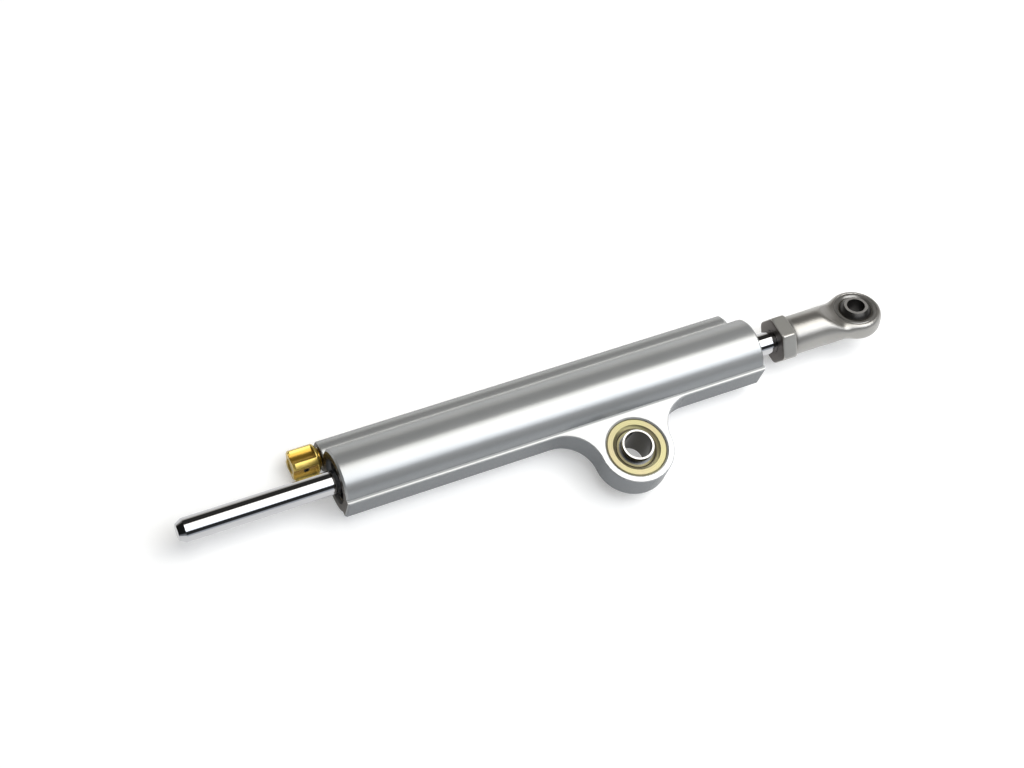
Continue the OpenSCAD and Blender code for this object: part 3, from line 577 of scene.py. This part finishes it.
class Shape:
    """Surfaces as whole arrays of points and of faces."""

    CUT = 0.25

    @staticmethod
    def rounded(loop: np.ndarray, rounds: int) -> np.ndarray:
        """Rounds a closed loop: each side is cut at a share of its length from both ends, again and again.

        Args:
            loop: Corners, one row each.
            rounds: How often the corners are cut.

        Returns:
            The rounded loop.
        """
        cut = Shape.CUT
        for _ in range(rounds):
            ahead = np.roll(loop, -1, axis=0)
            near, far = (1.0 - cut) * loop + cut * ahead, cut * loop + (1.0 - cut) * ahead
            loop = np.stack([near, far], axis=1).reshape(-1, 2)
        return loop

    @staticmethod
    def turned(loop: np.ndarray, axis_mm: Place, steps: int = 96) -> Grid:
        """Turns a closed loop about a line along X: place = axis + radius (cos a, sin a) over all angles a.

        Args:
            loop: Rows of (x, radius) in millimetres.
            axis_mm: A point on the line.
            steps: Steps round the turn.

        Returns:
            Points and faces of the ring.
        """
        a = np.linspace(0.0, 2.0 * np.pi, steps, endpoint=False)[:, None]
        x = np.broadcast_to(loop[:, 0], (steps, len(loop)))
        points = np.stack([x, axis_mm[1] + loop[:, 1] * np.cos(a), axis_mm[2] + loop[:, 1] * np.sin(a)],
                          axis=2)
        return points.reshape(-1, 3), Shape.quads(steps, len(loop), True)

    @staticmethod
    def quads(rows: int, columns: int, closed: bool) -> np.ndarray:
        """Joins the points of a grid whose columns run round, and whose rows do so where it is closed.

        Args:
            rows: Points along the first parameter.
            columns: Points round the second.
            closed: Whether the last row meets the first.

        Returns:
            Rows of four point numbers.
        """
        i, j = np.meshgrid(np.arange(rows if closed else rows - 1), np.arange(columns), indexing="ij")
        n, k = (i + 1) % rows, (j + 1) % columns
        corners = [i * columns + j, i * columns + k, n * columns + k, n * columns + j]
        return np.stack(corners, axis=2).reshape(-1, 4)

    @staticmethod
    def piece(name: str, grid: Grid, caps: list[list[int]] | None = None) -> bpy.types.Object:
        """Makes a smooth object of a grid in millimetres, with its faces turned outwards.

        Args:
            name: The object's name.
            grid: Points and faces.
            caps: Faces that close open ends.

        Returns:
            The linked object, at the origin.
        """
        points, faces = grid
        mesh = bpy.data.meshes.new(name)
        mesh.from_pydata((points * MM).tolist(), [], faces.tolist() + (caps or []))
        work = bmesh.new()
        work.from_mesh(mesh)
        bmesh.ops.recalc_face_normals(work, faces=work.faces)
        work.to_mesh(mesh)
        work.free()
        return Shape.smooth(name, mesh)

    @staticmethod
    def smooth(name: str, mesh: bpy.types.Mesh) -> bpy.types.Object:
        """Makes an object of a mesh, with smooth shading.

        Args:
            name: The object's name.
            mesh: The mesh.

        Returns:
            The linked object, at the origin.
        """
        mesh.polygons.foreach_set("use_smooth", np.ones(len(mesh.polygons), dtype=bool))
        return linked(name, mesh)


def reach_mm(node: str, axis_mm: Place, side: Side | None = None) -> tuple[float, ...]:
    """Measures a turned node, or the solid of it at one of the body's ends.

    Args:
        node: The CAD node.
        axis_mm: A point on the line along X that it is turned about.
        side: The end whose solid counts, or None for the whole node.

    Returns:
        Lowest and highest x, then smallest and largest radius, in millimetres.
    """
    points = points_mm(frame["nodes"][node].data)
    if side is not None:
        points = points[np.sign(points[:, 0] - BODY_MIDDLE_MM) == side.value]
    radius = np.hypot(points[:, 1] - axis_mm[1], points[:, 2] - axis_mm[2])
    x = points[:, 0]
    return float(x.min()), float(x.max()), float(radius.min()), float(radius.max())


@dataclass
class SqueezedRing:
    """An O-ring as it lies squeezed in its groove: a blunt oval section turned about its axis.

    The section is x = w sgn(cos t) |cos t|^(2/p), r = m + h sgn(sin t) |sin t|^(2/p), with p a little over 2.
    """

    node: str
    body: str
    axis_mm: Place
    power: float = 2.5
    points: int = 24

    def build(self, wardrobe: Wardrobe, sides: tuple[Side | None, ...] = (None,)) -> None:
        """Makes one ring for each solid of the node, as one piece, and hides the node.

        Args:
            wardrobe: Where the rubber comes from.
            sides: The ends that carry a ring, or None alone for a single ring.
        """
        t = np.linspace(0.0, 2.0 * np.pi, self.points, endpoint=False)
        oval = np.stack([np.sign(np.cos(t)) * np.abs(np.cos(t)) ** (2.0 / self.power),
                         np.sign(np.sin(t)) * np.abs(np.sin(t)) ** (2.0 / self.power)], axis=1)
        grids = []
        for side in sides:
            low, high, inner, outer = reach_mm(self.node, self.axis_mm, side)
            middle = np.array([(low + high) / 2.0, (inner + outer) / 2.0])
            half = np.array([(high - low) / 2.0, (outer - inner) / 2.0])
            grids.append(Shape.turned(middle + half * oval, self.axis_mm))
        wardrobe.stand_in(Shape.piece(f"{self.node}_squeezed", joined(grids)), self.node, self.body, RUBBER)


def joined(grids: list[Grid]) -> Grid:
    """Puts several grids into one, with the later ones' point numbers moved on.

    Args:
        grids: The grids.

    Returns:
        All points and all faces.
    """
    starts = np.cumsum([0] + [len(points) for points, _ in grids[:-1]])
    return (np.concatenate([points for points, _ in grids]),
            np.concatenate([faces + start for (_, faces), start in zip(grids, starts)]))


@dataclass
class GroundCoil:
    """A compression spring with closed, ground ends between its two seats.

    The wire's centre is at radius (cos 2 pi n, sin 2 pi n) and x(n), where n counts turns. x rises by one
    wire a turn on the closed end turns and evenly on the free turns between them. The section is a circle
    across the wire, and what lies past the two seats is ground flat.
    """

    node: str
    fixed_body: str
    moving_body: str
    axis_mm: Place
    wire_mm: float
    turns: float
    closed_rise: float = 1.03
    closed_turns: float = 0.85
    opening_turns: float = 0.3
    steps_a_turn: int = 48
    points: int = 16

    def build(self, wardrobe: Wardrobe) -> None:
        """Makes the coil and hides the plain node.

        Args:
            wardrobe: Where the spring steel comes from.
        """
        low, high, _, outer = reach_mm(self.node, self.axis_mm)
        rows = int(self.turns * self.steps_a_turn) + 1
        n = np.linspace(0.0, self.turns, rows)
        closed = self.closed_rise * self.wire_mm
        free = (high - low - 2.0 * closed) / (self.turns - 2.0)
        opened = np.minimum(n, self.turns - n) - self.closed_turns
        lift = np.clip(opened / self.opening_turns, 0.0, 1.0)
        rise = closed + (free - closed) * lift
        x = np.concatenate([[0.0], np.cumsum((rise[1:] + rise[:-1]) / 2.0 * np.diff(n))])
        x = low + x * (high - low) / x[-1]
        turn = 2.0 * np.pi * n
        t = np.linspace(0.0, 2.0 * np.pi, self.points, endpoint=False)
        radius = outer - self.wire_mm / 2.0 + self.wire_mm / 2.0 * np.cos(t)[None, :]
        points = np.stack([x[:, None] + self.wire_mm / 2.0 * np.sin(t)[None, :],
                           self.axis_mm[1] + radius * np.cos(turn)[:, None],
                           self.axis_mm[2] + radius * np.sin(turn)[:, None]], axis=2).reshape(-1, 3)
        points[:, 0] = np.clip(points[:, 0], low, high)
        last = (rows - 1) * self.points
        caps = [list(range(self.points)), [last + k for k in range(self.points)]]
        coil = Shape.piece(f"{self.node}_coil", (points, Shape.quads(rows, self.points, False)), caps)
        wardrobe.dress(coil, SPRING_STEEL)
        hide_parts(self.node)
        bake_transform(coil)
        LOG.info("wound %s: %.1f turns of %.2f mm wire", coil.name, self.turns, self.wire_mm)


@dataclass
class WornCopy:
    """A CAD node's own form with its cut edges worn round, as a forged, plated or tumbled piece has them.

    The node's points are merged and laid on an even net of squares. Each point p then goes to
    p + s (m - p) / 2, where m is the mean of its neighbours and s the share of wear at p, for a
    number of rounds.
    """

    node: str
    square_mm: float
    rounds: int
    merge_mm: float = 0.002

    def build(self, wardrobe: Wardrobe, finish: Finish, form: PointRule | None = None,
              share: PointRule | None = None) -> None:
        """Makes the worn piece and hides the node.

        Args:
            wardrobe: Where the finish comes from.
            finish: The piece's finish.
            form: Moves the net's points before the wear, in millimetres, or None.
            share: Gives each point's share of wear, or None for all of it everywhere.
        """
        mesh = self._net()
        points = points_mm(mesh)
        if form is not None:
            points = form(points)
        ends = np.empty(2 * len(mesh.edges), dtype=np.int32)
        mesh.edges.foreach_get("vertices", ends)
        wear = np.ones(len(points)) if share is None else share(points)
        points = self._worn(points, ends.reshape(-1, 2), wear[:, None])
        mesh.vertices.foreach_set("co", (points * MM).astype(np.float32).ravel())
        mesh.update()
        wardrobe.stand_in(Shape.smooth(f"{self.node}_worn", mesh), self.node, body_of(self.node), finish)

    def _net(self) -> bpy.types.Mesh:
        """Lays the node's form on an even net of squares.

        Returns:
            The new mesh, in the node's own place.
        """
        mesh = frame["nodes"][self.node].data.copy()
        work = bmesh.new()
        work.from_mesh(mesh)
        bmesh.ops.remove_doubles(work, verts=work.verts, dist=self.merge_mm * MM)
        work.to_mesh(mesh)
        work.free()
        blank = linked(f"{self.node}_net", mesh)
        even = blank.modifiers.new("even", "REMESH")
        even.mode = "VOXEL"
        even.voxel_size = self.square_mm * MM
        shown = blank.evaluated_get(bpy.context.evaluated_depsgraph_get())
        net = bpy.data.meshes.new_from_object(shown)
        bpy.data.objects.remove(blank)
        return net

    def _worn(self, points: np.ndarray, edges: np.ndarray, wear: np.ndarray) -> np.ndarray:
        """Moves every point towards the mean of its neighbours, round after round.

        Args:
            points: The net's points.
            edges: Pairs of neighbours.
            wear: Each point's share of wear.

        Returns:
            The worn points.
        """
        ends = np.concatenate([edges, edges[:, ::-1]])
        count = np.bincount(ends[:, 0], minlength=len(points))[:, None]
        for _ in range(self.rounds):
            sums = [np.bincount(ends[:, 0], weights=points[ends[:, 1], k], minlength=len(points))
                    for k in range(3)]
            total = np.stack(sums, axis=1)
            points = points + wear * (total / count - points) / 2.0
        return points


@dataclass
class BodyShell:
    """The alloy body: tube, flange, lug and side barrel in one piece."""

    def build(self, wardrobe: Wardrobe) -> None:
        """Dresses the body, whose shape is the node's own."""
        wardrobe.dress_nodes({"damper_body": ANODISED})


@dataclass
class LugBearing:
    """The spherical bearing in the lug: plated race, slippery liner and drilled ball."""

    def build(self, wardrobe: Wardrobe) -> None:
        """Dresses the bearing's three rings."""
        wardrobe.dress_nodes({"lug_race": YELLOW_PLATE, "lug_liner": LUG_LINER, "lug_ball": BALL_STEEL})


@dataclass
class EndGlands:
    """What closes the tube's two ends round the rod: guides, spring rings, bushes and rubber rings.

    The rubber rings' sections are shares of each ring's own length and height, so that a section sits
    in the room that the CAD ring has. Depth counts from the outer face, height from the rod.
    """

    corner_rounds: int = 2
    wiper_section: Section = (
        (0.0, 0.0), (0.02, 0.16), (0.22, 0.34), (0.34, 0.52), (0.34, 0.9), (0.36, 1.0), (0.98, 1.0),
        (1.0, 0.94), (1.0, 0.3), (0.86, 0.12), (0.5, 0.1), (0.2, 0.0))
    seal_section: Section = (
        (0.0, 0.16), (0.0, 0.9), (0.06, 1.0), (0.8, 1.0), (1.0, 0.97), (1.0, 0.8), (0.72, 0.64),
        (0.52, 0.5), (0.72, 0.36), (1.0, 0.18), (0.98, 0.0), (0.84, 0.0), (0.6, 0.06), (0.08, 0.06))
    stop_section: Section = (
        (0.0, 0.0), (0.0, 0.26), (0.5, 0.28), (0.5, 0.9), (0.54, 1.0), (0.68, 1.0), (0.74, 0.86),
        (0.8, 1.0), (0.92, 0.98), (1.0, 0.8), (1.0, 0.2), (0.94, 0.0))

    def build(self, wardrobe: Wardrobe) -> None:
        """Dresses the guides, spring rings and bushes, and makes the rubber rings.

        Args:
            wardrobe: Where the finishes come from.
        """
        wardrobe.dress_nodes({"tip_gland": DARK_ALLOY, "end_gland": DARK_ALLOY,
                              "gland_circlips": SPRING_STEEL, "rod_bushes": BRONZE})
        self._rubber(wardrobe, "rod_wipers", self.wiper_section)
        self._rubber(wardrobe, "rod_seals", self.seal_section)
        self._rubber(wardrobe, "bump_stops", self.stop_section)
        SqueezedRing("gland_o_rings", "damper", ROD_AXIS_MM).build(wardrobe, (Side.TIP, Side.END))

    def _rubber(self, wardrobe: Wardrobe, node: str, section: Section) -> None:
        """Turns a rounded section about the rod at both ends, and hides the CAD rings.

        Args:
            wardrobe: Where the rubber comes from.
            node: The node that holds the two rings.
            section: Corners as shares of the ring's depth and height.
        """
        grids = []
        for side in Side:
            low, high, inner, outer = reach_mm(node, ROD_AXIS_MM, side)
            share = Shape.rounded(np.array(section), self.corner_rounds)
            face, inward = (low, 1.0) if side is Side.TIP else (high, -1.0)
            depth, height = share[:, 0] * (high - low), share[:, 1] * (outer - inner)
            grids.append(Shape.turned(np.stack([face + inward * depth, inner + height], axis=1), ROD_AXIS_MM))
        wardrobe.stand_in(Shape.piece(f"{node}_lipped", joined(grids)), node, "damper", RUBBER)


@dataclass
class Adjuster:
    """The knob and the valve that it turns, in the side barrel."""

    detent_wire_mm: float = 0.24
    detent_turns: float = 4.0
    detent_axis_mm: Place = (0.0, 43.8, -11.6)
    knob_r_mm: float = 6.4
    flutes: int = 4
    fluted_mm: float = 10.2
    plain_flute_mm: Range = (1.6, 4.4)
    full_flute_mm: Range = (2.1, 5.0)
    skin_mm: Range = (1.0, 0.2)
    rim_fade_mm: float = 0.14
    least_r_mm: float = 0.1
    knob_square_mm: float = 0.14
    knob_rounds: int = 3

    def build(self, wardrobe: Wardrobe) -> None:
        """Dresses stem, sleeve, needle, seat and click ball, and makes knob, rings and spring.

        Args:
            wardrobe: Where the finishes come from.
        """
        knob = WornCopy("adjuster_knob", self.knob_square_mm, self.knob_rounds)
        knob.build(wardrobe, GOLD_KNOB, self._fuller_flutes)
        wardrobe.dress_nodes({"knob_set_screw": BLACK_STEEL, "adjuster_stem": VALVE_STEEL,
                              "adjuster_cartridge": SLEEVE_ALLOY, "metering_needle": VALVE_STEEL,
                              "valve_seat": SEAT_BRASS, "detent_ball": BALL_STEEL})
        SqueezedRing("cartridge_o_ring", "damper", BARREL_AXIS_MM).build(wardrobe)
        SqueezedRing("stem_o_ring", body_of("stem_o_ring"), BARREL_AXIS_MM).build(wardrobe)
        GroundCoil("detent_spring", "damper", "detent", self.detent_axis_mm, self.detent_wire_mm,
                   self.detent_turns).build(wardrobe)

    def _radius(self, turn: np.ndarray, flute_mm: Range) -> np.ndarray:
        """Gives a fluted bar's radius: the near side of a round cutter c from the axis, or the bar's own.

        Args:
            turn: Angle from the middle of the nearest flute.
            flute_mm: The flute's depth and its cutter's radius.

        Returns:
            c cos a - sqrt(q^2 - c^2 sin^2 a) inside the cutter of radius q, and the bar's radius outside it.
        """
        deep, cutter = flute_mm
        c = self.knob_r_mm - deep + cutter
        under = np.clip(cutter ** 2 - (c * np.sin(turn)) ** 2, 0.0, None)
        cut = np.minimum(c * np.cos(turn) - np.sqrt(under), self.knob_r_mm)
        return np.where(under > 0.0, cut, self.knob_r_mm)

    def _fuller_flutes(self, points: np.ndarray) -> np.ndarray:
        """Moves the knob's outside in, from its plain flutes to wider ones about the screw's direction.

        The move fades out between the two depths of skin_mm under the outside, and at the flutes' end.

        Args:
            points: The knob's points in millimetres.

        Returns:
            The moved points.
        """
        middle = points_mm(frame["nodes"]["knob_set_screw"].data).mean(axis=0)
        y, z = points[:, 1] - BARREL_AXIS_MM[1], points[:, 2] - BARREL_AXIS_MM[2]
        radius, pitch = np.hypot(y, z), 2.0 * np.pi / self.flutes
        turn = np.arctan2(z, y) - math.atan2(middle[2] - BARREL_AXIS_MM[2], middle[1] - BARREL_AXIS_MM[1])
        turn = (turn + pitch / 2.0) % pitch - pitch / 2.0
        plain, full = self._radius(turn, self.plain_flute_mm), self._radius(turn, self.full_flute_mm)
        deep, shallow = self.skin_mm
        outside = np.clip((radius - plain + deep) / (deep - shallow), 0.0, 1.0)
        x = points[:, 0]
        fluted = np.clip((x.min() + self.fluted_mm - x) / self.rim_fade_mm, 0.0, 1.0)
        scale = 1.0 + (full - plain) * outside * fluted / np.maximum(radius, self.least_r_mm)
        return np.stack([x, BARREL_AXIS_MM[1] + y * scale, BARREL_AXIS_MM[2] + z * scale], axis=1)


@dataclass
class Compensator:
    """The plug, floating piston and spring in the barrel's far end."""

    wire_mm: float = 0.9
    turns: float = 7.0

    def build(self, wardrobe: Wardrobe) -> None:
        """Dresses plug and piston, and makes their rings and the spring.

        Args:
            wardrobe: Where the finishes come from.
        """
        wardrobe.dress_nodes({"barrel_plug": DARK_ALLOY, "compensator_piston": SLEEVE_ALLOY})
        SqueezedRing("plug_o_ring", "damper", BARREL_AXIS_MM).build(wardrobe)
        SqueezedRing("compensator_o_ring", "compensator", BARREL_AXIS_MM).build(wardrobe)
        GroundCoil("compensator_spring", "damper", "compensator", BARREL_AXIS_MM, self.wire_mm,
                   self.turns).build(wardrobe)


@dataclass
class RodAndPiston:
    """The polished rod and the piston on it."""

    def build(self, wardrobe: Wardrobe) -> None:
        """Dresses rod, piston, clips and band, and makes the ring under the band.

        Args:
            wardrobe: Where the finishes come from.
        """
        wardrobe.dress_nodes({"piston_rod": CHROME, "piston": PISTON_ALLOY, "piston_clips": SPRING_STEEL,
                              "piston_band": BAND_PLASTIC})
        SqueezedRing("piston_o_ring", body_of("piston_o_ring"), ROD_AXIS_MM).build(wardrobe)


@dataclass
class RodEnd:
    """The jam nut and the rod end with its spherical bearing."""

    crisp_r_mm: float = 9.7
    worn_r_mm: float = 10.8
    crisp_share: float = 0.12
    nut_square_mm: float = 0.2
    nut_rounds: int = 26
    eye_square_mm: float = 0.3
    eye_rounds: int = 130

    def build(self, wardrobe: Wardrobe) -> None:
        """Dresses race, liner and ball, and makes the nut and the forged shank and head.

        Args:
            wardrobe: Where the finishes come from.
        """
        WornCopy("jam_nut", self.nut_square_mm, self.nut_rounds).build(wardrobe, NUT_STEEL)
        eye = WornCopy("rod_end_body", self.eye_square_mm, self.eye_rounds)
        eye.build(wardrobe, SATIN_STEEL, share=self._wear)
        wardrobe.dress_nodes({"rod_end_race": RACE_STEEL, "rod_end_liner": LINER_CLOTH_AND_GAP_SHADE,
                              "rod_end_ball": EYE_BALL_STEEL})

    def _wear(self, points: np.ndarray) -> np.ndarray:
        """Keeps the seat of the bearing crisp: the wear grows with the distance from the eye's axis.

        Args:
            points: The rod end's points in millimetres.

        Returns:
            Each point's share of wear.
        """
        away = points - np.array(EYE_MM)
        distance = np.linalg.norm(away - np.outer(away @ np.array(EYE_WAY), EYE_WAY), axis=1)
        rise = np.clip((distance - self.crisp_r_mm) / (self.worn_r_mm - self.crisp_r_mm), 0.0, 1.0)
        return self.crisp_share + (1.0 - self.crisp_share) * rise


@dataclass
class Studio:
    """The pale floor, the soft box overhead and the dim surroundings, in metres."""

    floor_half: float = 6.0
    floor_albedo: float = 0.9
    floor_seen_albedo: float = 0.72
    floor_glow: float = 0.34
    box_height: float = 1.25
    box_from_y: float = -1.15
    box_to_y: float = 0.62
    box_from_x: float = -0.4
    box_to_x: float = 1.25
    box_watts: float = 46.0
    box_dim_end: float = 0.6
    box_dim_front: float = 0.45
    box_dim_back: float = 0.5
    front_tint: Colour = (0.94, 0.99, 1.06)
    rear_tint: Colour = (1.03, 1.0, 0.93)
    band_level: float = 0.04
    horizon_level: float = 0.75
    left_share: float = 0.4
    floor_roughness: float = 0.9
    floor_gloss: float = 0.1
    end_reach: Range = (0.1, 0.6)
    front_reach: Range = (0.0, 0.4)
    back_reach: Range = (1.0, 0.75)
    horizon_reach: Range = (0.15, 0.30)
    tint_reach: Range = (0.3, 0.7)
    left_reach: Range = (-0.7, 0.1)

    def build(self, lowest: float) -> None:
        """Makes floor, lamp and world.

        Args:
            lowest: Height of the object's lowest point, where the floor lies.
        """
        self._floor(lowest)
        self._soft_box()
        self._world()

    def _floor(self, lowest: float) -> None:
        """Makes the floor plane just under the object.

        Args:
            lowest: Height of the floor.
        """
        h = self.floor_half
        mesh = bpy.data.meshes.new("floor")
        corners = [(-h, -h, lowest), (h, -h, lowest), (h, h, lowest), (-h, h, lowest)]
        mesh.from_pydata(corners, [], [(0, 1, 2, 3)])
        floor = linked("floor", mesh)
        material = bpy.data.materials.new("floor_paper")
        material.use_nodes = True
        shader = material.node_tree.nodes["Principled BSDF"]
        shader.inputs["Roughness"].default_value = self.floor_roughness
        shader.inputs["Specular IOR Level"].default_value = self.floor_gloss
        shader.inputs["Emission Color"].default_value = (1.0, 1.0, 1.0, 1.0)
        for level, socket in (((0.0, self.floor_glow), "Emission Strength"),
                              ((self.floor_albedo, self.floor_seen_albedo), "Base Color")):
            material.node_tree.links.new(self._seen(material.node_tree, *level), shader.inputs[socket])
        mesh.materials.append(material)
        floor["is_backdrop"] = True

    def _seen(self, tree: Tree, unseen: float, seen: float) -> Socket:
        """Gives one level to rays from the eye, from metal and through glass, and another to the rest.

        Args:
            tree: The floor material's node tree.
            unseen: The level for rays that carry light.
            seen: The level for rays that show the floor.

        Returns:
            The level's socket.
        """
        path = tree.nodes.new("ShaderNodeLightPath")
        total = path.outputs["Is Camera Ray"]
        for name in ("Is Glossy Ray", "Is Transmission Ray"):
            total = paired(tree, "MAXIMUM", total, path.outputs[name])
        return stepped(tree, total, levels=(unseen, seen))

    def _soft_box(self) -> None:
        """Hangs one wide soft box over the object, dimmer towards its -X end and its front."""
        lamp = bpy.data.lights.new("soft_box", "AREA")
        lamp.shape = "RECTANGLE"
        lamp.size = self.box_to_x - self.box_from_x
        lamp.size_y = self.box_to_y - self.box_from_y
        lamp.energy = self.box_watts
        lamp.use_nodes = True
        tree = lamp.node_tree
        place = tree.nodes.new("ShaderNodeNewGeometry")
        parts = tree.nodes.new("ShaderNodeSeparateXYZ")
        tree.links.new(place.outputs["Parametric"], parts.inputs["Vector"])
        total, *shares = [stepped(tree, parts.outputs[axis.value], reach, (low, 1.0), smooth=True)
                          for axis, low, reach in ((Axis.X, self.box_dim_end, self.end_reach),
                                                   (Axis.Y, self.box_dim_front, self.front_reach),
                                                   (Axis.Y, self.box_dim_back, self.back_reach))]
        for share in shares:
            total = paired(tree, "MULTIPLY", total, share)
        tree.links.new(total, tree.nodes["Emission"].inputs["Strength"])
        tint = tree.nodes.new("ShaderNodeValToRGB")
        front, rear = tint.color_ramp.elements
        front.color, rear.color = (*self.front_tint, 1.0), (*self.rear_tint, 1.0)
        tree.links.new(parts.outputs[Axis.Y.value], tint.inputs["Fac"])
        tree.links.new(tint.outputs["Color"], tree.nodes["Emission"].inputs["Color"])
        middle_x, middle_y = (self.box_from_x + self.box_to_x) / 2, (self.box_from_y + self.box_to_y) / 2
        linked("soft_box", lamp).location = (middle_x, middle_y, self.box_height)

    def _world(self) -> None:
        """Paints the surroundings: pale at the horizon, dim above it and to the left, warm behind."""
        world = bpy.data.worlds.new("studio")
        world.use_nodes = True
        bpy.context.scene.world = world
        tree = world.node_tree
        coords = tree.nodes.new("ShaderNodeTexCoord")
        parts = tree.nodes.new("ShaderNodeSeparateXYZ")
        tree.links.new(coords.outputs["Generated"], parts.inputs["Vector"])
        ramp = tree.nodes.new("ShaderNodeValToRGB")
        low, high = ramp.color_ramp.elements
        low.position, high.position = self.horizon_reach
        low.color = (self.horizon_level,) * 3 + (1.0,)
        high.color = (self.band_level,) * 3 + (1.0,)
        tree.links.new(parts.outputs[Axis.Z.value], ramp.inputs["Fac"])
        tint = tree.nodes.new("ShaderNodeValToRGB")
        front, rear = tint.color_ramp.elements
        front.position, rear.position = self.tint_reach
        front.color, rear.color = (*self.front_tint, 1.0), (*self.rear_tint, 1.0)
        tree.links.new(stepped(tree, parts.outputs[Axis.Y.value], (-1.0, 1.0)), tint.inputs["Fac"])
        tinted = tree.nodes.new("ShaderNodeVectorMath")
        tinted.operation = "MULTIPLY"
        tree.links.new(ramp.outputs["Color"], tinted.inputs[0])
        tree.links.new(tint.outputs["Color"], tinted.inputs[1])
        tree.links.new(tinted.outputs["Vector"], tree.nodes["Background"].inputs["Color"])
        side = stepped(tree, parts.outputs[Axis.X.value], self.left_reach, (self.left_share, 1.0),
                       smooth=True)
        tree.links.new(side, tree.nodes["Background"].inputs["Strength"])


@dataclass
class PhotoCamera:
    """The camera of the photograph, in the part's frame."""

    place_mm: Place = (-291.7, -233.1, 700.3)
    right: Way = (0.9038, -0.3910, 0.1739)
    back: Way = (-0.3209, -0.3504, 0.8799)
    focal_px: float = 1900.0
    image_width_px: float = 1024.0
    sensor_mm: float = 36.0
    near_m: float = 0.01

    def build(self) -> None:
        """Makes the camera and sets it as the scene's own."""
        data = bpy.data.cameras.new("photo_camera")
        data.sensor_width = self.sensor_mm
        data.lens = self.focal_px / self.image_width_px * self.sensor_mm
        data.clip_start = self.near_m
        camera = linked("photo_camera", data)
        back = Vector(self.back).normalized()
        right = Vector(self.right)
        right = (right - back * right.dot(back)).normalized()
        up = back.cross(right)
        turn = Matrix((right, up, back)).transposed()
        camera.matrix_world = Matrix.Translation(Vector(self.place_mm) * MM) @ turn.to_4x4()
        bpy.context.scene.camera = camera


def main() -> None:
    """Dresses the nodes, adds the pieces, and sets up light and camera."""
    logging.basicConfig(level=logging.INFO, format="%(name)s: %(message)s")
    cad_low, cad_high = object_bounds()
    bpy.context.scene.view_settings.view_transform = "Standard"
    wardrobe = Wardrobe()
    for part in (BodyShell(), LugBearing(), EndGlands(), Adjuster(), Compensator(), RodAndPiston(), RodEnd()):
        part.build(wardrobe)
    Studio().build(cad_low.z)
    PhotoCamera().build()


if __name__ == "__main__":
    main()
